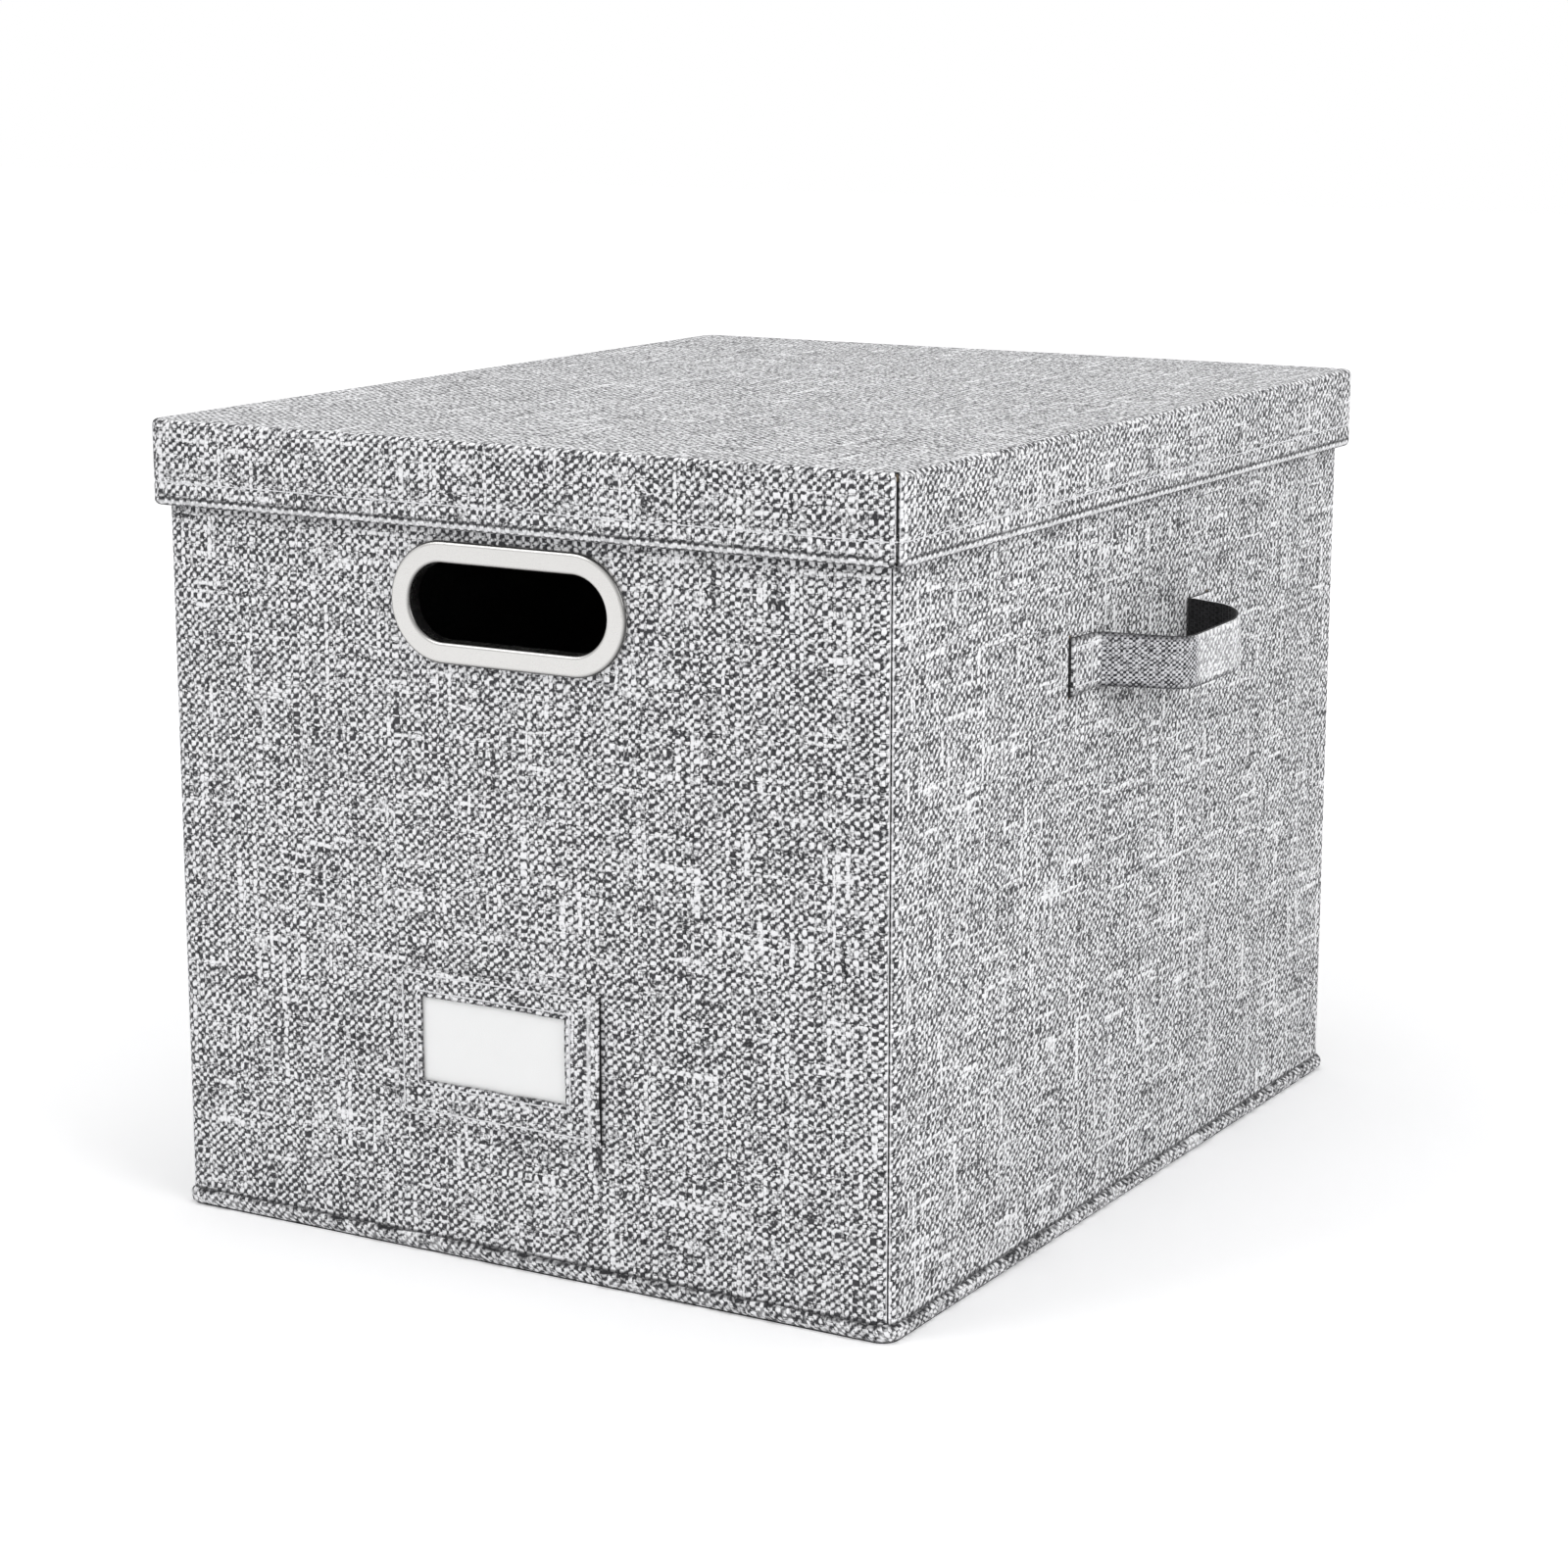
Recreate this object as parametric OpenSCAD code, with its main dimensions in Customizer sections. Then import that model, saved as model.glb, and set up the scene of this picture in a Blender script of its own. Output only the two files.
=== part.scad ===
// Record carrying case: a cloth-covered board box for 12 inch records, with a
// lift-off lid, a metal hand hole, a label pocket and two strap handles.
// Millimetres. +Z is up, the front faces -Y, and the origin is the centre of the
// underside. Rest is the closed case standing on its bottom.

/* [Case] */
// Outside width of the case, side to side
case_w = 340; // [328:1:420]
// Outside depth of the case, front to back
case_d = 430; // [220:1:520]
// Height of the case to the top of its rim
case_h = 330; // [322:1:380]
// Outside radius of the upright corners
corner_r = 7; // [4.5:0.5:12]

/* [Cloth and board] */
// Thickness of the woven outer cloth
cloth_t = 0.8; // [0.5:0.1:1.1]
// Thickness of the non-woven lining
lining_t = 0.5; // [0.3:0.1:0.7]
// Thickness of the stiffening boards in the walls and the lid
board_t = 2.5; // [1.5:0.1:2.8]

/* [Rim and bottom edge] */
// Depth of the cloth hem turned inside the rim
hem_h = 26; // [10:1:32]
// Height of the welt sewn round the bottom edge
welt_h = 6.5; // [4:0.5:14]
// Distance that the welt stands out from the walls
welt_t = 1.6; // [0.6:0.1:2.5]

/* [Hand hole] */
// Overall width of the metal ring
ring_w = 110; // [90:1:130]
// Overall height of the metal ring
ring_h = 49; // [44:1:56]
// Width of the ring's flange
flange_w = 9; // [7:0.5:11]
// Height of the flange above the cloth
flange_h = 2.8; // [2:0.1:4]
// Radius along the flange's outer and inner edges
shoulder_r = 1.7; // [1.2:0.1:1.9]
// Thickness of the ring's pressed sheet
metal_t = 0.8; // [0.5:0.1:1]
// Distance from the rim down to the middle of the hand hole
ring_drop = 60; // [56:1:120]
// Thickness of the backing ring inside the case
backing_t = 1; // [0.6:0.1:1.4]
// Width of the collar's curled lip over the backing ring
lip_w = 1.8; // [1:0.1:3]

/* [Label pocket] */
// Distance from the middle of the front to the middle of the window, to the left
window_left = 10; // [0:1:40]
// Height of the middle of the window above the floor
window_z = 91; // [52:1:150]
// Width of the window
window_w = 69; // [40:1:69]
// Height of the window
window_h = 35; // [20:1:35]
// Corner radius of the window
window_r = 3; // [1:0.5:6]
// Width of the cloth patch
patch_w = 97; // [94:1:130]
// Height of the cloth patch
patch_h = 62; // [56:1:90]
// Distance from the middle of the window to the middle of the patch, to the right
patch_right = 2; // [0:0.5:4]
// Distance from the middle of the window down to the middle of the patch
patch_down = 2; // [0:0.5:3]
// Width of the label card
card_w = 80; // [77:1:84]
// Height of the label card
card_h = 46; // [44:1:50]
// Thickness of the label card
card_t = 0.4; // [0.2:0.1:0.8]
// Thickness of the clear window film
film_t = 0.3; // [0.2:0.1:0.5]

/* [Strap handles] */
// Width of the strap, measured up the wall
strap_w = 22; // [18:1:40]
// Free length along the wall between the two sewn ends
strap_span = 96; // [70:1:140]
// Distance the strap bows out from the wall
strap_rise = 33; // [30:1:44]
// Angle at which the strap's front half leaves the wall
strap_lean = 55; // [40:1:65]
// Radius where the front half leaves the wall
strap_bend_r = 8; // [4:1:14]
// Radius of the two round shoulders of the bow
strap_crown_r = 18; // [16:1:26]
// Radius where the back half comes square to the wall
strap_return_r = 4; // [3.5:0.5:5]
// Length of each end, sewn flat to the wall
strap_end = 20; // [12:1:35]
// Distance from the rim down to the top edge of the strap
strap_drop = 80; // [60:1:150]
// Thickness of the strap's cloth face
strap_t = 1; // [0.6:0.1:1.6]
// Thickness of the strap's webbing back
webbing_t = 0.8; // [0.5:0.1:1.5]

/* [Lid] */
// Overall height of the lid
lid_h = 35; // [25:1:36]
// Clearance between the lid's hem and the case, each side
lid_gap = 0.9; // [0.5:0.1:3]
// Outside radius of the lid's upright corners
lid_corner_r = 8; // [4.5:0.5:12]
// Radius along the lid's top edges
lid_edge_r = 2.5; // [1.5:0.1:3.2]
// Depth of the hem turned inside the lid's skirt
lid_hem_h = 12; // [6:1:18]

/* [Base board] */
// Thickness of the loose base board
base_t = 3; // [2:0.5:6]
// Clearance between the base board's sleeve and the ring's back, each side
base_gap = 1.2; // [0.6:0.1:4]

/* [Hidden] */
$fn = 48;

// Sides, counted anticlockwise from the front
FRONT = 0;
RIGHT = 1;
BACK = 2;
LEFT = 3;

// Clearance where two pieces slide or rest without being fixed together
slip = 0.3;
// Clearance round the ring's collar in the wall
collar_gap = 0.1;
// Clearance between the welt and the floor
floor_gap = 0.4;
// Distance that the backing ring stays inside the flange's outer edge
backing_inset = 1;
// Overshoot of a cut past the face that it opens
cut = 1;

wall_t = cloth_t + board_t + lining_t;
hem_wall_t = cloth_t + board_t + cloth_t;
fold_r = cloth_t + board_t / 2;
run_x = case_w - 2 * corner_r;
run_y = case_d - 2 * corner_r;
board_out = corner_r - cloth_t;
board_in = board_out - board_t;
rim_z = case_h - fold_r;

ring_z = case_h - ring_drop;
ring_run = ring_w - ring_h;
hole_r = ring_h / 2 - flange_w;
wall_hole_r = hole_r + metal_t + collar_gap;
curl_r = 2 * metal_t;
backing_in = hole_r + curl_r + collar_gap;
backing_out = ring_h / 2 - backing_inset;
ring_back = backing_t + metal_t;

// Clearance between the card and what it slides between
pocket_gap = 0.2;
pocket_depth = pocket_gap + card_t + pocket_gap + film_t;
// Width of the film's border behind the cloth
film_lap = 4;
patch_r = 2;
card_r = 1;

strap_z = case_h - strap_drop - strap_w;
strap_full_t = strap_t + webbing_t;
strap_reach = strap_span / 2 + strap_end;
bow_h = strap_rise - strap_full_t;
crown_x = bow_h - strap_crown_r;
turn_r = strap_bend_r + strap_crown_r;
front_shoulder_y = turn_r * sin(strap_lean) - strap_span / 2
    + (bow_h - turn_r * (1 - cos(strap_lean))) / tan(strap_lean);
back_shoulder_y = strap_span / 2 - strap_return_r - strap_crown_r;
// Extra height of the slits over the strap's width
slit_ease = 2;

lid_w = case_w + 2 * (lid_gap + hem_wall_t);
lid_d = case_d + 2 * (lid_gap + hem_wall_t);
lid_run_x = lid_w - 2 * lid_corner_r;
lid_run_y = lid_d - 2 * lid_corner_r;
lid_top = case_h + slip + wall_t;
lid_bottom = lid_top - lid_h;
lid_board_out = lid_corner_r - cloth_t;
lid_board_in = lid_board_out - board_t;
lid_fold_z = lid_bottom + fold_r;

sleeve_w = case_w - 2 * (wall_t + ring_back + base_gap);
sleeve_d = case_d - 2 * (wall_t + ring_back + base_gap);
sleeve_h = base_t + 2 * lining_t;
sleeve_z = cloth_t + lining_t + slip;

// ---- shared forms ----------------------------------------------------------

// Rectangle with round corners, centred
module round_rect(w, h, r) {
    square([w - 2 * r, h], center = true);
    square([w, h - 2 * r], center = true);
    for (x = [-1, 1], y = [-1, 1])
        translate([x * (w / 2 - r), y * (h / 2 - r)]) circle(r = r);
}

// Slot with round ends, centred, long in X
module slot_2d(run, r) {
    square([run, 2 * r], center = true);
    for (x = [-1, 1]) translate([x * run / 2, 0]) circle(r = r);
}

// Sheet between two radii, the half turn above (up = 1) or below (up = -1) Y = 0
module half_turn(r_out, r_in, up) {
    intersection() {
        difference() {
            circle(r = r_out);
            circle(r = r_in);
        }
        translate([-2 * r_out, up > 0 ? 0 : -2 * r_out]) square([4 * r_out, 2 * r_out]);
    }
}

// Carries a profile along one side of a box and round the corner at its end. The
// profile's X is the distance out from the corner's centre, and its Y is up.
module along_side(side, run_x, run_y) {
    run = side % 2 == 0 ? run_x : run_y;
    offset_y = side % 2 == 0 ? run_y / 2 : run_x / 2;
    rotate([0, 0, 90 * side]) translate([0, -offset_y, 0]) {
        rotate([90, 0, -90]) linear_extrude(height = run, center = true) children();
        translate([run / 2, 0, 0]) rotate([0, 0, -90]) rotate_extrude(angle = 90) children();
    }
}

// Stands a shape drawn flat against the outside of the front wall, with its X to
// the right, its Y up and its height towards the viewer
module on_front(z, x = 0) {
    translate([x, -case_d / 2, z]) rotate([90, 0, 0]) children();
}

// Cut for the hand hole through every layer of the front wall
module hand_hole_cut() {
    on_front(ring_z) translate([0, 0, -wall_t - cut])
        linear_extrude(height = wall_t + 2 * cut) slot_2d(ring_run, wall_hole_r);
}

// ---- case body -------------------------------------------------------------

// Outer cloth of a wall: up the outside, over the rim and down inside as a hem
module cover_profile() {
    translate([board_out, cloth_t]) square([cloth_t, rim_z - cloth_t]);
    translate([corner_r - fold_r, rim_z]) half_turn(fold_r, fold_r - cloth_t, 1);
    translate([board_in - cloth_t, case_h - hem_h]) square([cloth_t, hem_h - fold_r]);
}

module wall_cover(side) {
    color([0.60, 0.60, 0.62]) along_side(side, run_x, run_y) cover_profile();
}

module front_cover() {
    color([0.60, 0.60, 0.62]) difference() {
        wall_cover(FRONT);
        hand_hole_cut();
    }
}

// Slits in a side wall's cloth where the strap's ends go in
module strap_slits(hand) {
    slit_w = strap_full_t + 2 * slip;
    on_wall(hand) for (y = [-1, 1]) translate([-cloth_t - cut,
            y * (strap_reach - strap_full_t / 2) - slit_w / 2, -slit_ease / 2])
        cube([cloth_t + 2 * cut, slit_w, strap_w + slit_ease]);
}

module side_cover(hand) {
    color([0.60, 0.60, 0.62]) difference() {
        wall_cover(hand > 0 ? RIGHT : LEFT);
        strap_slits(hand);
    }
}

// Stiff board inside a wall, between the corners
module wall_board(side) {
    run = side % 2 == 0 ? run_x : run_y;
    face = (side % 2 == 0 ? case_d : case_w) / 2 - cloth_t;
    color([0.63, 0.55, 0.43]) rotate([0, 0, 90 * side])
        translate([-run / 2, -face, cloth_t]) cube([run, board_t, rim_z - cloth_t]);
}

module front_board() {
    color([0.63, 0.55, 0.43]) difference() {
        wall_board(FRONT);
        hand_hole_cut();
    }
}

// Sewn lining bag: four walls up to the hem, and a bottom
module lining() {
    color([0.43, 0.43, 0.45]) difference() {
        union() {
            for (side = [FRONT, RIGHT, BACK, LEFT]) along_side(side, run_x, run_y)
                translate([board_in - lining_t, cloth_t])
                    square([lining_t, case_h - hem_h - cloth_t]);
            translate([0, 0, cloth_t]) linear_extrude(height = lining_t)
                round_rect(run_x + 2 * board_in, run_y + 2 * board_in, board_in);
        }
        hand_hole_cut();
    }
}

module bottom_cover() {
    color([0.16, 0.16, 0.17]) linear_extrude(height = cloth_t)
        round_rect(case_w, case_d, corner_r);
}

// Rolled welt that binds the walls to the bottom
module bottom_welt() {
    roll_r = (pow(welt_h / 2, 2) + pow(welt_t, 2)) / (2 * welt_t);
    color([0.52, 0.52, 0.54]) for (side = [FRONT, RIGHT, BACK, LEFT])
        along_side(side, run_x, run_y) intersection() {
            translate([corner_r + welt_t - roll_r, floor_gap + welt_h / 2]) circle(r = roll_r);
            translate([corner_r, floor_gap]) square([welt_t, welt_h]);
        }
}

// ---- hand hole -------------------------------------------------------------

// Section of the pressed ring. X is the distance out from the slot's end centre and
// Y is the height above the cloth: a flange with round shoulders, a collar through the
// wall, and a lip curled out over the backing ring.
module ring_section() {
    back = -wall_t - backing_t;
    curl_in = curl_r - metal_t;
    intersection() {
        translate([hole_r + flange_w / 2, 0]) difference() {
            round_rect(flange_w, 2 * flange_h, shoulder_r);
            round_rect(flange_w - 2 * metal_t, 2 * (flange_h - metal_t), shoulder_r - metal_t);
        }
        translate([hole_r, 0]) square([flange_w, flange_h]);
    }
    translate([hole_r, back + curl_in]) square([metal_t, -back - curl_in]);
    intersection() {
        translate([hole_r + curl_r, back + curl_in]) difference() {
            circle(r = curl_r);
            circle(r = curl_in);
        }
        translate([hole_r, back - metal_t]) square([curl_r, curl_r]);
    }
    translate([hole_r + curl_r, back - metal_t]) square([lip_w, metal_t]);
}

// Carries a section round the hand hole's slot
module round_slot(run) {
    for (turn = [0, 180]) rotate([0, 0, turn]) {
        rotate([90, 0, -90]) linear_extrude(height = run, center = true) children();
        translate([run / 2, 0, 0]) rotate([0, 0, -90]) rotate_extrude(angle = 180) children();
    }
}

module handle_ring() {
    color([0.86, 0.85, 0.83]) on_front(ring_z) round_slot(ring_run) ring_section();
}

module handle_backing_ring() {
    color([0.74, 0.74, 0.74]) on_front(ring_z) translate([0, 0, -wall_t - backing_t])
        linear_extrude(height = backing_t) difference() {
            slot_2d(ring_run, backing_out);
            slot_2d(ring_run, backing_in);
        }
}

// ---- label pocket ----------------------------------------------------------

// Cloth patch sewn down at its top, bottom and left edges, with a window in it. Its
// right edge is open, and the card goes in there.
module label_pocket() {
    room_left = card_w / 2 + slip;
    room_right = patch_w / 2 + patch_right + cut;
    room_h = card_h + 2 * slip;
    color([0.60, 0.60, 0.62]) on_front(window_z, -window_left) difference() {
        translate([patch_right, -patch_down]) linear_extrude(height = pocket_depth + cloth_t)
            round_rect(patch_w, patch_h, patch_r);
        translate([-room_left, -room_h / 2, -cut])
            cube([room_left + room_right, room_h, pocket_depth + cut]);
        linear_extrude(height = pocket_depth + cloth_t + cut)
            round_rect(window_w, window_h, window_r);
    }
}

// Clear film behind the window
module label_window() {
    color([0.9, 0.93, 0.95, 0.3]) on_front(window_z, -window_left)
        translate([0, 0, pocket_depth - film_t]) linear_extrude(height = film_t)
            round_rect(window_w + 2 * film_lap, window_h + 2 * film_lap, window_r);
}

// Plain card that slides out of the pocket to the right
module label_card() {
    color("white") on_front(window_z, -window_left) translate([0, 0, pocket_gap])
        linear_extrude(height = card_t) round_rect(card_w, card_h, card_r);
}

// ---- strap handles ---------------------------------------------------------

// Points of an arc about c, from angle a to angle b
function arc(c, r, a, b, n = 12) =
    [for (i = [0:n]) c + r * [cos(a + (b - a) * i / n), sin(a + (b - a) * i / n)]];

// Line along the bowed strap, at distance t from its inner face: a bend off the wall,
// a slant outwards, two round shoulders with a flat crown between them, and a straight
// return that bends onto the wall. X is out from the wall.
function bow_line(t) = concat(
    arc([strap_bend_r, -strap_span / 2], strap_bend_r - t, 180, 180 - strap_lean),
    arc([crown_x, front_shoulder_y], strap_crown_r + t, -strap_lean, 0),
    arc([crown_x, back_shoulder_y], strap_crown_r + t, 0, 90),
    arc([strap_return_r, strap_span / 2], strap_return_r - t, 270, 180)
);

function backwards(list) = [for (i = [len(list) - 1:-1:0]) list[i]];

// One layer of the bow, between distances near and far from its inner face
module bow_layer(near, far) {
    linear_extrude(height = strap_w) polygon(concat(bow_line(near), backwards(bow_line(far))));
}

// Places strap pieces drawn for the right wall, on the right (1) or left (-1)
module on_wall(hand) {
    mirror([hand > 0 ? 0 : 1, 0, 0]) translate([case_w / 2, 0, strap_z]) children();
}

module strap(hand) {
    color([0.62, 0.62, 0.64]) on_wall(hand) bow_layer(webbing_t, strap_full_t);
}

module strap_webbing(hand) {
    color([0.10, 0.10, 0.11]) on_wall(hand) bow_layer(0, webbing_t);
}

// The two ends of the strap, sewn flat to the wall, with a tail through each slit
module strap_ends(hand) {
    color([0.66, 0.66, 0.68]) on_wall(hand) for (end = [0, 1]) mirror([0, end, 0]) {
        translate([0, strap_span / 2, 0]) cube([strap_full_t, strap_end, strap_w]);
        translate([-cloth_t, strap_reach - strap_full_t, 0])
            cube([cloth_t, strap_full_t, strap_w]);
    }
}

// ---- lid -------------------------------------------------------------------

// Outer cloth of the lid's skirt: from the top edge down, under and up as a hem
module lid_cover_profile() {
    skirt_h = lid_top - lid_edge_r - lid_fold_z;
    translate([lid_board_out, lid_fold_z]) square([cloth_t, skirt_h]);
    intersection() {
        translate([lid_corner_r - lid_edge_r, lid_top - lid_edge_r])
            half_turn(lid_edge_r, lid_edge_r - cloth_t, 1);
        translate([lid_corner_r - lid_edge_r, lid_bottom]) square([lid_edge_r, lid_h]);
    }
    translate([lid_corner_r - fold_r, lid_fold_z]) half_turn(fold_r, fold_r - cloth_t, -1);
    translate([lid_board_in - cloth_t, lid_fold_z]) square([cloth_t, lid_hem_h - fold_r]);
}

module lid_cover() {
    top_r = lid_corner_r - lid_edge_r;
    color([0.60, 0.60, 0.62]) {
        for (side = [FRONT, RIGHT, BACK, LEFT])
            along_side(side, lid_run_x, lid_run_y) lid_cover_profile();
        translate([0, 0, lid_top - cloth_t]) linear_extrude(height = cloth_t)
            round_rect(lid_run_x + 2 * top_r, lid_run_y + 2 * top_r, top_r);
    }
}

module lid_top_board() {
    color([0.63, 0.55, 0.43]) translate([0, 0, lid_top - cloth_t - board_t])
        linear_extrude(height = board_t)
            square([lid_run_x + 2 * lid_board_in, lid_run_y + 2 * lid_board_in], center = true);
}

module lid_skirt_board(side) {
    run = side % 2 == 0 ? lid_run_x : lid_run_y;
    face = (side % 2 == 0 ? lid_d : lid_w) / 2 - cloth_t;
    color([0.63, 0.55, 0.43]) rotate([0, 0, 90 * side])
        translate([-run / 2, -face, lid_fold_z])
            cube([run, board_t, lid_top - lid_edge_r - lid_fold_z]);
}

module lid_lining() {
    lining_z = lid_top - cloth_t - board_t;
    color([0.43, 0.43, 0.45]) {
        for (side = [FRONT, RIGHT, BACK, LEFT]) along_side(side, lid_run_x, lid_run_y)
            translate([lid_board_in - lining_t, lid_bottom + lid_hem_h])
                square([lining_t, lining_z - lid_bottom - lid_hem_h]);
        translate([0, 0, lining_z - lining_t]) linear_extrude(height = lining_t)
            round_rect(lid_run_x + 2 * lid_board_in, lid_run_y + 2 * lid_board_in, lid_board_in);
    }
}

// ---- base board ------------------------------------------------------------

module base_board() {
    color([0.63, 0.55, 0.43])
        translate([-sleeve_w / 2 + lining_t, -sleeve_d / 2 + lining_t, sleeve_z + lining_t])
            cube([sleeve_w - 2 * lining_t, sleeve_d - 3 * lining_t, base_t]);
}

// Non-woven sleeve on the base board, open at its back edge
module base_board_sleeve() {
    color([0.43, 0.43, 0.45]) translate([-sleeve_w / 2, -sleeve_d / 2, sleeve_z]) difference() {
        cube([sleeve_w, sleeve_d, sleeve_h]);
        translate([lining_t, lining_t, lining_t])
            cube([sleeve_w - 2 * lining_t, sleeve_d, base_t]);
    }
}

front_cover();
wall_cover(BACK);  // back_cover
side_cover(-1);  // left_cover
side_cover(1);  // right_cover
front_board();
wall_board(BACK);  // back_board
wall_board(LEFT);  // left_board
wall_board(RIGHT);  // right_board
lining();
bottom_cover();
bottom_welt();
handle_ring();
handle_backing_ring();
label_pocket();
label_window();
label_card();
strap(-1);  // left_strap
strap_webbing(-1);  // left_strap_webbing
strap_ends(-1);  // left_strap_ends
strap(1);  // right_strap
strap_webbing(1);  // right_strap_webbing
strap_ends(1);  // right_strap_ends
lid_cover();
lid_lining();
lid_top_board();
lid_skirt_board(FRONT);  // lid_front_board
lid_skirt_board(BACK);  // lid_back_board
lid_skirt_board(LEFT);  // lid_left_board
lid_skirt_board(RIGHT);  // lid_right_board
base_board();
base_board_sleeve();
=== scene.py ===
from math import atan2, cos, pi, radians, sin, tan

import bmesh
import bpy
from mathutils import Matrix, Vector, noise


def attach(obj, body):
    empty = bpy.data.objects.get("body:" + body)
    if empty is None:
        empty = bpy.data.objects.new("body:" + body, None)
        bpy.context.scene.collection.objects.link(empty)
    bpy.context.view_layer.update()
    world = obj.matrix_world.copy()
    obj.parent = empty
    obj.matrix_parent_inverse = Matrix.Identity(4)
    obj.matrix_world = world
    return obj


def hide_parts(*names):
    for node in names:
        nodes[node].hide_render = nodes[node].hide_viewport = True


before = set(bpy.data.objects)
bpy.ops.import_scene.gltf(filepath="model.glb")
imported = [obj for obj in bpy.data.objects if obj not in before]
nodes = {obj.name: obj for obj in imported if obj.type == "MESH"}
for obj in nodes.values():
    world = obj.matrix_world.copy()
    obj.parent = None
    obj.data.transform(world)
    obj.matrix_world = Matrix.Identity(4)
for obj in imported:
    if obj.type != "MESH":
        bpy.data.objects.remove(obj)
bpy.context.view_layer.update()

# ---- camera, light and floor -----------------------------
# The case stands on a white table and is seen over its front right corner, a little
# from above, under a big soft lamp on each side and a weaker one above.
scene = bpy.context.scene
scene.view_settings.view_transform = "Standard"

camera = bpy.data.objects.new("camera", bpy.data.cameras.new("camera"))
camera.data.lens = 84
camera.location = (0.798, -1.3715, 0.5025)
aim = Vector((-0.002, 0, 0.160)) - camera.location
camera.rotation_euler = aim.to_track_quat("-Z", "Y").to_euler()
scene.collection.objects.link(camera)
scene.camera = camera

for name, place, size, power in [
    ("lamp_left", (-1.5, -2.0, 2.3), 1.6, 26),
    ("lamp_right", (2.6, -0.7, 1.6), 1.6, 30),
    ("lamp_top", (0.1, 0.2, 2.6), 1.4, 14),
]:
    lamp = bpy.data.objects.new(name, bpy.data.lights.new(name, "AREA"))
    lamp.data.size = size
    lamp.data.energy = power
    lamp.location = place
    to_case = Vector((0, 0, 0.16)) - lamp.location
    lamp.rotation_euler = to_case.to_track_quat("-Z", "Y").to_euler()
    scene.collection.objects.link(lamp)


def join(tree, node, inputs):
    """Joins each input of a node to a socket, or sets it to a value."""
    for key, value in inputs.items():
        if isinstance(value, bpy.types.NodeSocket):
            tree.links.new(value, node.inputs[key])
        else:
            node.inputs[key].default_value = value


def wire(tree, kind, inputs, **settings):
    """Adds a node with its settings, and joins or sets its inputs."""
    node = tree.nodes.new(kind)
    for key, value in settings.items():
        setattr(node, key, value)
    join(tree, node, inputs)
    return node


def math(tree, operation, *values):
    """One Math node. Returns its output."""
    return wire(tree, "ShaderNodeMath", dict(enumerate(values)), operation=operation).outputs[0]


def ramp(tree, value, low, high, start=0.0, end=1.0, **settings):
    """Turns a value that goes from low to high into one that goes from start to end."""
    return wire(tree, "ShaderNodeMapRange", {"Value": value, "From Min": low, "From Max": high,
                "To Min": start, "To Max": end}, **settings).outputs[0]


def seen_white(tree):
    """1 on the rays that look straight at something, in a mirror or through a film."""
    ray = tree.nodes.new("ShaderNodeLightPath").outputs
    seen = math(tree, "MAXIMUM", ray["Is Camera Ray"], ray["Is Transmission Ray"])
    return math(tree, "MAXIMUM", seen, ray["Is Glossy Ray"])


fill_light, table_near, table_far = 0.58, 0.16, 0.5
room = bpy.data.worlds.new("studio")
room.use_nodes = True
tree = room.node_tree
tree.nodes.clear()
level = ramp(tree, seen_white(tree), 0.0, 1.0, fill_light, 1.0)
glow = wire(tree, "ShaderNodeBackground", {"Color": (1, 1, 1, 1), "Strength": level})
wire(tree, "ShaderNodeOutputWorld", {"Surface": glow.outputs[0]})
scene.world = room

bpy.ops.object.select_all(action="DESELECT")
bpy.ops.mesh.primitive_plane_add(size=14)
table = bpy.context.object
table.name = "table_top"
paint = bpy.data.materials.new("table_paint")
paint.use_nodes = True
tree = paint.node_tree
tree.nodes.clear()
place = tree.nodes.new("ShaderNodeTexCoord").outputs["Object"]
away = wire(tree, "ShaderNodeVectorMath", {0: place}, operation="LENGTH").outputs["Value"]
lift = math(tree, "MULTIPLY", seen_white(tree), ramp(tree, away, 0.3, 1.4, table_near, table_far))
matt = wire(tree, "ShaderNodeBsdfDiffuse", {"Color": (0.93, 0.93, 0.935, 1)})
glow = wire(tree, "ShaderNodeEmission", {"Strength": lift})
both = wire(tree, "ShaderNodeAddShader", {0: matt.outputs[0], 1: glow.outputs[0]})
wire(tree, "ShaderNodeOutputMaterial", {"Surface": both.outputs[0]})
table.data.materials.append(paint)

# ---- linen cloth -----------------------------------------
# A plain weave of thick uneven yarns, spun from dark and pale fibres, so each yarn changes
# shade along its length. The hollows between the yarns get a near-black painted shade.


def new_group(name, inputs, outputs):
    """An empty shader group. inputs are (name, kind, value), and outputs are (name, kind)."""
    group = bpy.data.node_groups.new(name, "ShaderNodeTree")
    for label, kind, value in inputs:
        socket = group.interface.new_socket(label, in_out="INPUT", socket_type="NodeSocket" + kind)
        if value is not None:
            socket.default_value = value
    for label, kind in outputs:
        group.interface.new_socket(label, in_out="OUTPUT", socket_type="NodeSocket" + kind)
    return group, group.nodes.new("NodeGroupInput").outputs


weave, given = new_group("weave", [
    ("Vector", "Vector", None), ("Pitch Across", "Float", 0.0020), ("Pitch Up", "Float", 0.00178),
    ("Wander", "Float", 0.0022), ("Uneven", "Float", 1.3), ("Fleck", "Float", 2.8),
    ("Slubs", "Float", 0.6), ("Two Tone", "Float", 0.66), ("Twist", "Float", 0.24),
    ("Tone And Painted Light", "Float", 0.0),
    ("Gap Color", "Color", (0.02, 0.02, 0.023, 1)),
    ("Dark Color", "Color", (0.05, 0.05, 0.055, 1)),
    ("Pale Color", "Color", (0.98, 0.98, 1.0, 1)),
], [("Color", "Color"), ("Height", "Float")])


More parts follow.
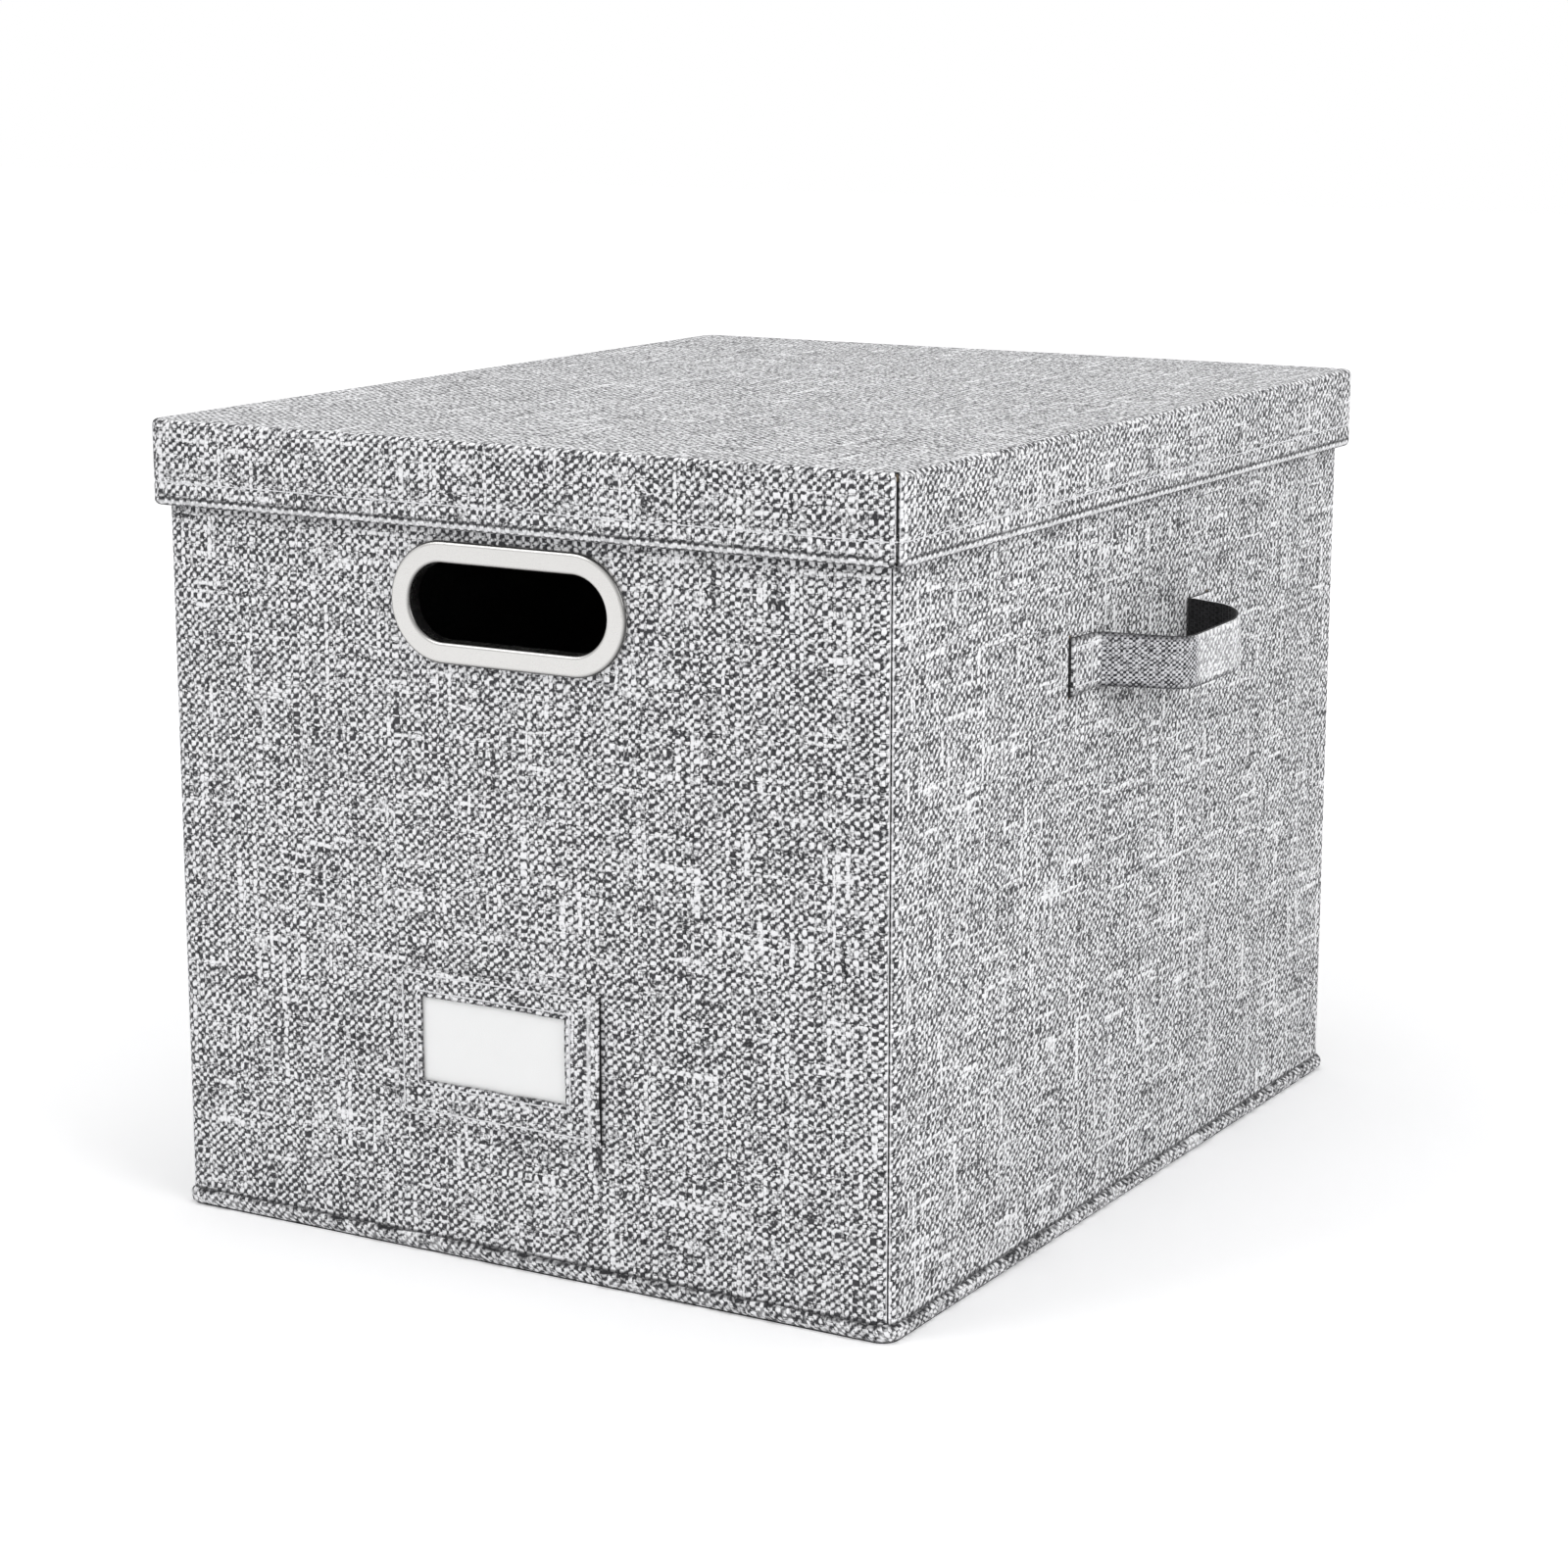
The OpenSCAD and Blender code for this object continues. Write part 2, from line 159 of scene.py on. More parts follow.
def soft_noise(tree, vector, scale, detail=0.0, **settings):
    """Smooth noise about zero, mostly within a quarter either way."""
    field = wire(tree, "ShaderNodeTexNoise", {"Vector": vector, "Scale": scale, "Detail": detail},
                 **settings)
    return math(tree, "SUBTRACT", field.outputs[0], 0.5)


def mix_color(tree, share, first, second):
    """A colour that goes from the first one at 0 to the second one at 1."""
    return wire(tree, "ShaderNodeMix", {0: share, 6: first, 7: second}, data_type="RGBA",
                clamp_factor=True).outputs[2]


drift = wire(weave, "ShaderNodeTexNoise", {"Vector": given["Vector"], "Scale": 110.0,
             "Detail": 2.0}, noise_dimensions="2D")
drift = wire(weave, "ShaderNodeVectorMath", {0: drift.outputs["Color"], 1: (0.5, 0.5, 0.5)},
             operation="SUBTRACT")
drift = wire(weave, "ShaderNodeVectorMath", {0: drift.outputs[0], "Scale": given["Wander"]},
             operation="SCALE")
moved = wire(weave, "ShaderNodeVectorMath", {0: given["Vector"], 1: drift.outputs[0]},
             operation="ADD")
place = wire(weave, "ShaderNodeSeparateXYZ", {0: moved.outputs[0]}).outputs


def count_yarns(along, pitch, seed):
    """Yarns counted across the cloth: the fraction runs from one edge of a yarn to the other.
    Some yarns are thicker than others."""
    even = math(weave, "DIVIDE", along, pitch)
    spot = wire(weave, "ShaderNodeCombineXYZ", {0: math(weave, "MULTIPLY", even, 0.8), 1: seed})
    return math(weave, "MULTIPLY_ADD", soft_noise(weave, spot.outputs[0], 1.0),
                given["Uneven"], even)


across = count_yarns(place[0], given["Pitch Across"], 3.0)
up = count_yarns(place[1], given["Pitch Up"], 8.0)
column, row = math(weave, "FLOOR", across), math(weave, "FLOOR", up)
off_across = math(weave, "SUBTRACT", math(weave, "FRACT", across), 0.5)
off_up = math(weave, "SUBTRACT", math(weave, "FRACT", up), 0.5)
parity = math(weave, "MULTIPLY", math(weave, "ADD", column, row), 0.5)
warp_over = math(weave, "GREATER_THAN", math(weave, "FRACT", parity), 0.25)
fleck = math(weave, "MULTIPLY", soft_noise(weave, given["Vector"], 520.0, 1.0,
             noise_dimensions="2D"), given["Fleck"])


def yarn(number, along, seed):
    """Shade of a yarn about zero: its own level, and its fibres along it."""
    own = wire(weave, "ShaderNodeTexWhiteNoise", {"W": math(weave, "ADD", number, seed)},
               noise_dimensions="1D").outputs["Value"]
    spot = wire(weave, "ShaderNodeCombineXYZ", {
        0: math(weave, "MULTIPLY", number, 3.7), 1: math(weave, "MULTIPLY", along, 190.0),
        2: seed}).outputs[0]
    return math(weave, "MULTIPLY_ADD", math(weave, "SUBTRACT", own, 0.5), 0.22,
                math(weave, "MULTIPLY", soft_noise(weave, spot, 1.0, 2.0), 1.8))


def slub(number, along, seed):
    """Long spots where a yarn is thick and pale (1) or thin and dark (-1)."""
    spot = wire(weave, "ShaderNodeCombineXYZ", {
        0: math(weave, "MULTIPLY", number, 5.3), 1: math(weave, "MULTIPLY", along, 30.0),
        2: seed}).outputs[0]
    field = soft_noise(weave, spot, 1.0)
    pale, dark = (ramp(weave, field, end * 0.16, end * 0.23) for end in (1, -1))
    return math(weave, "MULTIPLY_ADD", dark, -0.5, pale)


def hump(off):
    """Rounded back of a yarn: 1 on its middle and 0 at its edges."""
    return math(weave, "COSINE", math(weave, "MULTIPLY", off, pi))


def crown(side, length):
    """Height of a yarn where it passes over: round across, and dipping at both ends."""
    back = math(weave, "POWER", math(weave, "MAXIMUM", side, 0.0), 0.7)
    return math(weave, "MULTIPLY", back, math(weave, "MULTIPLY_ADD", length, 0.5, 0.5))


def either(when_warp, when_weft):
    return wire(weave, "ShaderNodeMix", {0: warp_over, 2: when_weft, 3: when_warp}).outputs[0]


warp_hump, weft_hump = hump(off_across), hump(off_up)
height = either(crown(warp_hump, weft_hump), crown(weft_hump, warp_hump))
core = ramp(weave, math(weave, "ABSOLUTE", off_up), 0.20, 0.46, -0.75, 0.25)
lean = math(weave, "MULTIPLY", given["Two Tone"], either(core, 0.4))
shade = math(weave, "ADD", fleck, either(yarn(column, place[1], 2.0), yarn(row, place[0], 11.0)))
thick = math(weave, "ADD",
             math(weave, "MULTIPLY", slub(column, place[1], 6.0), warp_hump),
             math(weave, "MULTIPLY", slub(row, place[0], 15.0), weft_hump))
thick = math(weave, "MULTIPLY", thick, given["Slubs"])
shade = math(weave, "ADD", thick, shade)
twist = math(weave, "COSINE", math(weave, "MULTIPLY", math(weave, "SUBTRACT", across, up), pi))
shade = math(weave, "ADD", shade, math(weave, "MULTIPLY_ADD", twist, given["Twist"], lean))
body_tone = mix_color(weave, math(weave, "ADD", shade, 0.55), given["Dark Color"],
                      given["Pale Color"])
tight = math(weave, "MULTIPLY_ADD", soft_noise(weave, given["Vector"], 330.0, 1.0,
             noise_dimensions="2D"), 1.2, height)
tight = math(weave, "MULTIPLY_ADD", thick, 0.7, tight)
# Painted shade: where the yarns' cover is low, in the hollows between them, the colour turns to
# the near-black Gap Color.
cover = ramp(weave, tight, 0.05, 0.42, interpolation_type="SMOOTHSTEP")
tone = mix_color(weave, cover, given["Gap Color"], body_tone)
# The per-point mark above 0 paints the colour pale, as a painted highlight, and below 0 paints it
# dark, as painted shade.
tone = mix_color(weave, given["Tone And Painted Light"], tone, given["Pale Color"])
tone = mix_color(weave, math(weave, "MULTIPLY", given["Tone And Painted Light"], -1.0), tone, given["Gap Color"])
wire(weave, "NodeGroupOutput", {"Color": tone,
     "Height": math(weave, "MULTIPLY_ADD", shade, 0.15, height)})


def new_finish(name):
    """A new material, with its node tree and its shader."""
    finish = bpy.data.materials.new(name)
    finish.use_nodes = True
    return finish, finish.node_tree, finish.node_tree.nodes["Principled BSDF"]


def relief(tree, height, distance, strength):
    """The normal of a surface with that height on it."""
    return wire(tree, "ShaderNodeBump", {"Height": height, "Distance": distance,
                "Strength": strength}).outputs[0]


def cloth_finish(name, **values):
    """A woven cloth, read from the piece's own map in metres."""
    finish, tree, shader = new_finish(name)
    laid = wire(tree, "ShaderNodeUVMap", {}, uv_map="UVMap").outputs[0]
    # The piece's per-point mark of painted highlights and painted shade, and of the welt's uneven
    # tone.
    tone_and_painted_light = wire(tree, "ShaderNodeAttribute", {}, attribute_name="tone_and_painted_light").outputs["Fac"]
    own = {key.replace("_", " "): value for key, value in values.items()}
    woven = wire(tree, "ShaderNodeGroup", {"Vector": laid, "Tone And Painted Light": tone_and_painted_light, **own},
                 node_tree=weave).outputs
    join(tree, shader, {"Base Color": woven["Color"], "Roughness": 0.88,
                        "Specular IOR Level": 0.25, "Sheen Weight": 0.15, "Sheen Roughness": 0.5,
                        "Normal": relief(tree, woven["Height"], 0.0004, 0.8)})
    return finish


linen = cloth_finish("linen")

# ---- wall cloth ------------------------------------------
# Each wall's cloth goes up the outside, over the rim and down inside as a hem. The walls
# are joined by a seam down each upright corner, where both edges are turned in. The side
# walls have two slits for the straps, and the front has the hand hole.
case_w, case_d, case_h = 0.340, 0.430, 0.330
corner_r, cloth_t, board_t, hem_h = 0.007, 0.0008, 0.0025, 0.026
fold_r = cloth_t + board_t / 2
rim_z = case_h - fold_r
stitch_z = case_h - 0.0092
# How far round its corner a seam is, and how much of each edge is turned in there.
seam_angle, seam_turn = radians(41.6), 0.0020
# Below this height the cloth gets painted shade behind the welt, and a painted shadow is put
# beside the label pocket's mouth.
welt_shade_z = 0.0080
mouth_shade_x, mouth_shade_z = (0.0375, 0.0402), (0.0580, 0.1192)
grid = 0.02


def begin(add, name, **place):
    """Adds a primitive with nothing else selected, names it and opens it for shaping."""
    bpy.ops.object.select_all(action="DESELECT")
    add(**place)
    piece = bpy.context.object
    piece.name = piece.data.name = name
    bpy.ops.object.transform_apply()
    bpy.ops.object.mode_set(mode="EDIT")
    bpy.ops.mesh.select_all(action="DESELECT")
    return piece


def pick(kind, test):
    """Selects only the verts, edges or faces whose corners all pass the test."""
    bpy.ops.mesh.select_mode(type={"verts": "VERT", "edges": "EDGE", "faces": "FACE"}[kind])
    bpy.ops.mesh.select_all(action="DESELECT")
    shape = bmesh.from_edit_mesh(bpy.context.edit_object.data)
    for e in getattr(shape, kind):
        corners = [e] if kind == "verts" else e.verts
        e.select_set(all(test(v.co) for v in corners))
    shape.select_flush_mode()
    bmesh.update_edit_mesh(bpy.context.edit_object.data)


def near(a, b):
    return abs(a - b) < 1e-5


def slide(x, y, z):
    bpy.ops.transform.translate(value=(x, y, z))


def pull(x, y, z):
    """Extrudes what is picked by that much."""
    bpy.ops.mesh.extrude_region_move(TRANSFORM_OT_translate={"value": (x, y, z)})


def stretch(x, y, z):
    """Scales the whole piece that is being shaped."""
    bpy.ops.mesh.select_all(action="SELECT")
    bpy.ops.transform.resize(value=(x, y, z))


def cut_across(axis, places):
    """Cuts right through the piece at each place along the x, y or z axis."""
    for place in places:
        point, normal = Vector(), Vector()
        setattr(point, axis, place)
        setattr(normal, axis, 1)
        bpy.ops.mesh.select_all(action="SELECT")
        bpy.ops.mesh.bisect(plane_co=point, plane_no=normal)


def sheet_to_cloth(piece, thickness, outward):
    """Closes the shaping of a sheet: its faces look outward, and it gets its thickness behind
    them. outward is a point and the direction that the face nearest it has to look."""
    bpy.ops.mesh.select_all(action="SELECT")
    bpy.ops.mesh.remove_doubles(threshold=1e-6)
    bpy.ops.mesh.normals_make_consistent(inside=False)
    shape = bmesh.from_edit_mesh(piece.data)
    nearest = min(shape.faces, key=lambda f: (f.calc_center_median() - Vector(outward[0])).length)
    if nearest.normal.dot(Vector(outward[1])) < 0:
        bpy.ops.mesh.flip_normals()
    bpy.ops.object.mode_set(mode="OBJECT")
    thick = piece.modifiers.new("thickness", "SOLIDIFY")
    thick.thickness = thickness
    thick.offset = -1
    bpy.ops.object.modifier_apply(modifier=thick.name)


def turn(piece, angle):
    """Turns a finished piece about the upright axis through the origin."""
    piece.data.transform(Matrix.Rotation(angle, 4, "Z"))


def lay_map(piece, unroll):
    """Writes the piece's own map: where each point lies on the flat cloth, in metres."""
    laid = piece.data.uv_layers.get("UVMap") or piece.data.uv_layers.new(name="UVMap")
    spots = [unroll(v.co) for v in piece.data.vertices]
    for loop in piece.data.loops:
        laid.data[loop.index].uv = spots[loop.vertex_index]


def mark_tone_and_painted_light(piece, amount):
    """Marks each point of a cloth: above 0 a painted highlight, below 0 painted shade."""
    marks = piece.data.attributes.new("tone_and_painted_light", "FLOAT", "POINT")
    for v in piece.data.vertices:
        marks.data[v.index].value = amount(v.co)


def choose(piece):
    """Picks one piece and nothing else."""
    bpy.ops.object.select_all(action="DESELECT")
    piece.select_set(True)
    bpy.context.view_layer.objects.active = piece


def smooth(piece, angle=40):
    choose(piece)
    bpy.ops.object.shade_smooth_by_angle(angle=radians(angle))


def carve(piece, cutter):
    """Cuts a shape out of a piece and removes the cutter."""
    choose(piece)
    cut = piece.modifiers.new("cut", "BOOLEAN")
    cut.operation, cut.object, cut.solver = "DIFFERENCE", cutter, "EXACT"
    bpy.ops.object.modifier_apply(modifier=cut.name)
    bpy.data.objects.remove(cutter)


def press_row(z, half_width, depth):
    """Presses the cloth in along a row of stitches at one height."""
    cut_across("z", (z - half_width, z, z + half_width))
    pick("verts", lambda p: near(p.z, z))
    slide(0, depth, 0)


def round_ends(run, face, r, angle):
    """Rounds both ends of a wall's cloth as far as the corner seams, and turns its edges in."""
    for end in (1, -1):
        pick("edges", lambda p: near(p.x, end * run / 2))
        bpy.ops.mesh.spin(steps=7, angle=-end * angle, axis=(0, 0, 1),
                          center=(end * run / 2, face + r, 0))
        pull(-end * sin(angle) * seam_turn, cos(angle) * seam_turn, 0)


def along_wall(p, run, face, r):
    """How far a point is along a wall's cloth from its middle, and how deep behind its face."""
    out = Vector((abs(p.x) - run / 2, face + r - p.y))
    if out.x <= 0:
        return p.x, p.y - face
    return (1 if p.x > 0 else -1) * (run / 2 + r * atan2(*out)), r - out.length


def seam_painted_light(p, run, face, r, angle):
    """A painted highlight on a corner seam's fold, and painted shade where its edge turns in."""
    out = Vector((abs(p.x) - run / 2, face + r - p.y))
    if out.x <= 0 or atan2(*out) < angle - 0.01:
        return 0.0
    return 0.75 if out.length > r - 0.0002 else -1.0


def wrap_wall(name, run, half, shift):
    """One wall's cloth, built as the front wall: run is its straight width, and half is the
    distance from the middle of the case to its face. shift moves the weave along it."""
    face, high = -half, rim_z - cloth_t
    piece = begin(bpy.ops.mesh.primitive_plane_add, name, size=1, rotation=(pi / 2, 0, 0))
    stretch(run, 1, high)
    slide(0, face, cloth_t + high / 2)
    press_row(stitch_z, 0.0011, 0.0004)
    pick("edges", lambda p: near(p.z, rim_z))
    bpy.ops.mesh.spin(steps=8, angle=pi, center=(0, face + fold_r, rim_z), axis=(1, 0, 0))
    pull(0, 0, fold_r - hem_h)
    cut_across("z", [k * grid for k in range(1, 17)]
               + [welt_shade_z - 0.0004, welt_shade_z + 0.0005, *mouth_shade_z])
    cut_across("x", [k * grid - run / 2 for k in range(1, int(run / grid))]
               + [mouth_shade_x[0] - 0.0005, *mouth_shade_x, mouth_shade_x[1] + 0.0006])
    round_ends(run, face, corner_r, seam_angle)
    sheet_to_cloth(piece, cloth_t, ((0, face, 0.15), (0, -1, 0)))

    def unroll(p):
        u, deep = along_wall(p, run, face, corner_r)
        if p.z > rim_z:
            v = rim_z + fold_r * atan2(p.z - rim_z, fold_r - deep)
        else:
            v = p.z if deep < fold_r else 2 * rim_z + pi * fold_r - p.z
        return u + shift, v

    # Painted shade behind the welt, a painted shadow in the label pocket's mouth, and the seams'
    # painted light.
    def tone_and_painted_light(p):
        if p.z < welt_shade_z:
            return -0.8
        in_mouth = all(low - 0.0001 < place < high + 0.0001 for place, (low, high)
                       in ((p.x, mouth_shade_x), (p.z, mouth_shade_z)))
        if in_mouth and name.startswith("front") and near(p.y, face):
            return -1.0
        return seam_painted_light(p, run, face, corner_r, seam_angle)
    lay_map(piece, unroll)
    mark_tone_and_painted_light(piece, tone_and_painted_light)
    return piece


run_x, run_y = case_w - 2 * corner_r, case_d - 2 * corner_r
front_cloth = wrap_wall("front_wall_cloth", run_x, case_d / 2, 0.0)
back_cloth = wrap_wall("back_wall_cloth", run_x, case_d / 2, 1.3)
right_cloth = wrap_wall("right_wall_cloth", run_y, case_w / 2, 2.1)
left_cloth = wrap_wall("left_wall_cloth", run_y, case_w / 2, 3.7)
turn(right_cloth, pi / 2)
turn(back_cloth, pi)
turn(left_cloth, -pi / 2)

ring_z, ring_run, collar_r = 0.270, 0.061, 0.0164


def punch_hand_hole(piece, y):
    """Cuts the oval hand hole through a piece whose front wall is at y."""
    punch = begin(bpy.ops.mesh.primitive_cylinder_add, "punch", vertices=62, radius=collar_r,
                  depth=0.02, location=(0, y, ring_z), rotation=(pi / 2, 0, 0))
    for side in (1, -1):
        pick("verts", lambda p: p.x * side > 0)
        slide(side * ring_run / 2, 0, 0)
    bpy.ops.object.mode_set(mode="OBJECT")
    carve(piece, punch)


punch_hand_hole(front_cloth, -case_d / 2)

slit_y, slit_z, slit_w, slit_h = 0.0675, 0.2390, 0.0032, 0.0262
for hand, cloth in ((1, right_cloth), (-1, left_cloth)):
    for end in (1, -1):
        blade = begin(bpy.ops.mesh.primitive_cube_add, "blade", size=1)
        stretch(0.004, slit_w, slit_h)
        slide(hand * case_w / 2, end * slit_y, slit_z)
        bpy.ops.object.mode_set(mode="OBJECT")
        carve(cloth, blade)

side_linen = cloth_finish("side_linen", Slubs=0.7, Two_Tone=0.6)
for cloth, node, finish in ((front_cloth, "front_cover", linen),
                            (back_cloth, "back_cover", linen),
                            (left_cloth, "left_cover", side_linen),
                            (right_cloth, "right_cover", side_linen)):
    smooth(cloth)
    cloth.data.materials.append(finish)
    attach(cloth, "case")
    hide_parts(node)

# ---- lid cloth -------------------------------------------
# One piece of the same cloth covers the top and the four skirts. It turns under the
# skirt's lower edge and up inside as a hem, and has a seam down each corner.
lid_w, lid_d, lid_top, lid_bottom = 0.350, 0.440, 0.3341, 0.2991
lid_corner_r, lid_edge_r, lid_hem_h = 0.008, 0.0025, 0.012
lid_seam_angle = radians(39.4)
lid_run_x, lid_run_y = lid_w - 2 * lid_corner_r, lid_d - 2 * lid_corner_r
lid_fold_z = lid_bottom + fold_r
lid_shoulder_z = lid_top - lid_edge_r
hem_line_z = lid_bottom + 0.0098
# Heights of a dark line painted just above the lower fold, as painted shade.
shade_line_z = lid_fold_z + 0.0011, lid_fold_z + 0.0015


def wrap_skirt(name, run, half, shift):
    """One skirt of the lid with the strip of top cloth beside it, built as the front one."""
    face, high = -half, lid_shoulder_z - lid_fold_z
    piece = begin(bpy.ops.mesh.primitive_plane_add, name, size=1, rotation=(pi / 2, 0, 0))
    stretch(run, 1, high)
    slide(0, face, lid_fold_z + high / 2)
    press_row(hem_line_z, 0.0012, 0.0005)
    cut_across("z", (shade_line_z[0] - 0.0005, *shade_line_z, shade_line_z[1] + 0.0009))
    pick("edges", lambda p: near(p.z, lid_shoulder_z))
    bpy.ops.mesh.spin(steps=5, angle=pi / 2, axis=(1, 0, 0),
                      center=(0, face + lid_edge_r, lid_shoulder_z))
    pick("edges", lambda p: near(p.z, lid_fold_z))
    bpy.ops.mesh.spin(steps=8, angle=-pi, axis=(1, 0, 0), center=(0, face + fold_r, lid_fold_z))
    pull(0, 0, lid_hem_h - fold_r)
    cut_across("x", [k * grid - run / 2 for k in range(1, int(run / grid))])
    round_ends(run, face, lid_corner_r, lid_seam_angle)
    sheet_to_cloth(piece, cloth_t, ((0, face, 0.32), (0, -1, 0)))

    def unroll(p):
        u, deep = along_wall(p, run, face, lid_corner_r)
        if p.z > lid_shoulder_z:
            v = lid_shoulder_z + lid_edge_r * atan2(p.z - lid_shoulder_z, lid_edge_r - deep)
        elif p.z < lid_fold_z:
            v = lid_fold_z - fold_r * atan2(lid_fold_z - p.z, fold_r - deep)
        else:
            v = p.z if deep < fold_r else 2 * lid_fold_z - pi * fold_r - p.z
        return u + shift, v

    # A painted highlight on the outer half of the lower fold and painted shade on its inner half,
    # a painted shade line above the fold, and the seams' painted light.
    def tone_and_painted_light(p):
        if p.z < lid_fold_z + 0.0001:
            return 0.6 if p.y < face + 0.0005 else -0.6
        if shade_line_z[0] - 0.0001 < p.z < shade_line_z[1] + 0.0001 and p.y < face + 0.0003:
            return -0.8
        return seam_painted_light(p, run, face, lid_corner_r, lid_seam_angle)
    lay_map(piece, unroll)
    mark_tone_and_painted_light(piece, tone_and_painted_light)
    return piece


skirts = [wrap_skirt("lid_front_skirt_cloth", lid_run_x, lid_d / 2, 4.4),
          wrap_skirt("lid_right_skirt_cloth", lid_run_y, lid_w / 2, 5.2),
          wrap_skirt("lid_back_skirt_cloth", lid_run_x, lid_d / 2, 6.1),
          wrap_skirt("lid_left_skirt_cloth", lid_run_y, lid_w / 2, 7.3)]
for quarter, skirt in enumerate(skirts):
    turn(skirt, quarter * pi / 2)


def flat_sheet(name, w, d, z, corner, segments):
    """Begins a piece as a flat rectangle with round corners, all of it picked."""
    piece = begin(bpy.ops.mesh.primitive_plane_add, name, size=1)
    stretch(w, d, 1)
    slide(0, 0, z)
    bpy.ops.mesh.bevel(offset=corner, segments=segments, affect="VERTICES")
    bpy.ops.mesh.select_all(action="SELECT")
    return piece


lid_cloth = flat_sheet("lid_top_cloth", lid_w - 2 * lid_edge_r, lid_d - 2 * lid_edge_r, lid_top,
                       lid_corner_r - lid_edge_r, 10)
sheet_to_cloth(lid_cloth, cloth_t, ((0, 0, lid_top), (0, 0, 1)))
lay_map(lid_cloth, lambda p: (p.x + 8.6, p.y))
for piece in [lid_cloth, *skirts]:
    smooth(piece)
    piece.data.materials.append(linen)
    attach(piece, "lid")
    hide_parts("lid_cover")

# ---- thread ----------------------------------------------
# Pale grey sewing thread in rows of short stitches: round the rim, round the lid's hem,
# round the label pocket and its window, and across the ends of the straps.
fibre, given = new_group("fibre", [
    ("Vector", "Vector", None), ("Scale", "Float", 900.0), ("Dark Color", "Color", (0, 0, 0, 1)),
    ("Pale Color", "Color", (1, 1, 1, 1)),
], [("Color", "Color"), ("Height", "Float")])
strands = wire(fibre, "ShaderNodeTexNoise", {"Vector": given["Vector"], "Scale": given["Scale"],
               "Detail": 4.0, "Roughness": 0.65, "Distortion": 0.6}).outputs[0]
tone = mix_color(fibre, ramp(fibre, strands, 0.3, 0.7), given["Dark Color"], given["Pale Color"])
wire(fibre, "NodeGroupOutput", {"Color": tone, "Height": strands})


def fibre_finish(name, color, scale, depth, rough=0.9, spread=0.25):
    """A plain fibrous material: short fibres on Object coordinates vary its tone."""
    finish, tree, shader = new_finish(name)
    fibres = wire(tree, "ShaderNodeGroup", {
        "Vector": tree.nodes.new("ShaderNodeTexCoord").outputs["Object"], "Scale": scale,
        "Dark Color": tuple(c * (1 - spread) for c in color) + (1,),
        "Pale Color": tuple(c * (1 + spread) for c in color) + (1,)}, node_tree=fibre).outputs
    join(tree, shader, {"Base Color": fibres["Color"], "Roughness": rough,
                        "Specular IOR Level": 0.3,
                        "Normal": relief(tree, fibres["Height"], depth, 0.7)})
    return finish


thread = fibre_finish("pale_thread", (0.80, 0.80, 0.82), 2600, 0.00005, 0.7, 0.15)
stitch_r, stitch_l, stitch_pitch = 0.00032, 0.0024, 0.0033
stitch = begin(bpy.ops.mesh.primitive_cylinder_add, "stitch", vertices=6, radius=stitch_r,
               depth=stitch_l, rotation=(0, pi / 2, 0))
for end in (1, -1):
    pick("faces", lambda p: p.x * end > 0.001)
    pull(end * 0.0004, 0, 0)
    bpy.ops.transform.resize(value=(1, 0.35, 0.35))
bpy.ops.object.mode_set(mode="OBJECT")
smooth(stitch, 60)


def measure(path):
    """How far each point of a line is from its start."""
    lengths = [0.0]
    for a, b in zip(path, path[1:]):
        lengths.append(lengths[-1] + (b - a).length)
    return lengths


def sew(name, points, pitch, body, closed=False):
    """Lays a row of stitches along a line of points. Each stitch is a copy of the first."""
    path = [Vector(p) for p in points] + ([Vector(points[0])] if closed else [])
    lengths = measure(path)
    count = max(1, round(lengths[-1] / pitch))

    def at(s):
        k = max(i for i in range(len(lengths) - 1) if lengths[i] <= s + 1e-9)
        share = (s - lengths[k]) / (lengths[k + 1] - lengths[k])
        return path[k].lerp(path[k + 1], min(share, 1.0))

    row = bmesh.new()
    for k in range(count):
        middle = (k + 0.5) * lengths[-1] / count
        way = (at(min(middle + stitch_l / 4, lengths[-1]))
               - at(max(middle - stitch_l / 4, 0.0)))
        spin = Vector((1, 0, 0)).rotation_difference(way.normalized()).to_matrix().to_4x4()
        one = stitch.data.copy()
        one.transform(Matrix.Translation(at(middle)) @ spin)
        row.from_mesh(one)
        bpy.data.meshes.remove(one)
    mesh = bpy.data.meshes.new(name)
    row.to_mesh(mesh)
    row.free()
    piece = bpy.data.objects.new(name, mesh)
    scene.collection.objects.link(piece)
    piece.data.materials.append(thread)
    for face in piece.data.polygons:
        face.use_smooth = True
    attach(piece, body)
    return piece


def round_box(w, d, r, steps=6):
    """Points round a rectangle with round corners, anticlockwise from its front right one."""
    points = []
    for k, (sx, sy) in enumerate(((1, -1), (1, 1), (-1, 1), (-1, -1))):
        for i in range(steps + 1):
            a = (k - 1) * pi / 2 + i * pi / 2 / steps
            points.append((sx * (w / 2 - r) + r * cos(a), sy * (d / 2 - r) + r * sin(a)))
    return points


def sew_round(name, w, d, r, z, body):
    """Sews all round the case or the lid at one height."""
    sew(name, [(x, y, z) for x, y in round_box(w, d, r)], stitch_pitch, body, closed=True)


sew_round("rim_stitches", case_w - 0.0005, case_d - 0.0005, corner_r, stitch_z, "case")
hem_in = 2 * (2 * cloth_t + board_t)
sew_round("hem_stitches", case_w - hem_in, case_d - hem_in, corner_r - hem_in / 2, stitch_z,
          "case")
sew_round("lid_hem_stitches", lid_w - 0.0007, lid_d - 0.0007, lid_corner_r, hem_line_z, "lid")

# ---- bottom welt -----------------------------------------
# A strip of the linen is rolled over the bottom seam and sewn down, so it puckers a little
# along its length, with painted shade along its sewn upper edge and on the wall behind it.
welt_h, welt_t, floor_gap, pucker = 0.0065, 0.0022, 0.0004, 0.0032
welt_edge_z = 0.0062
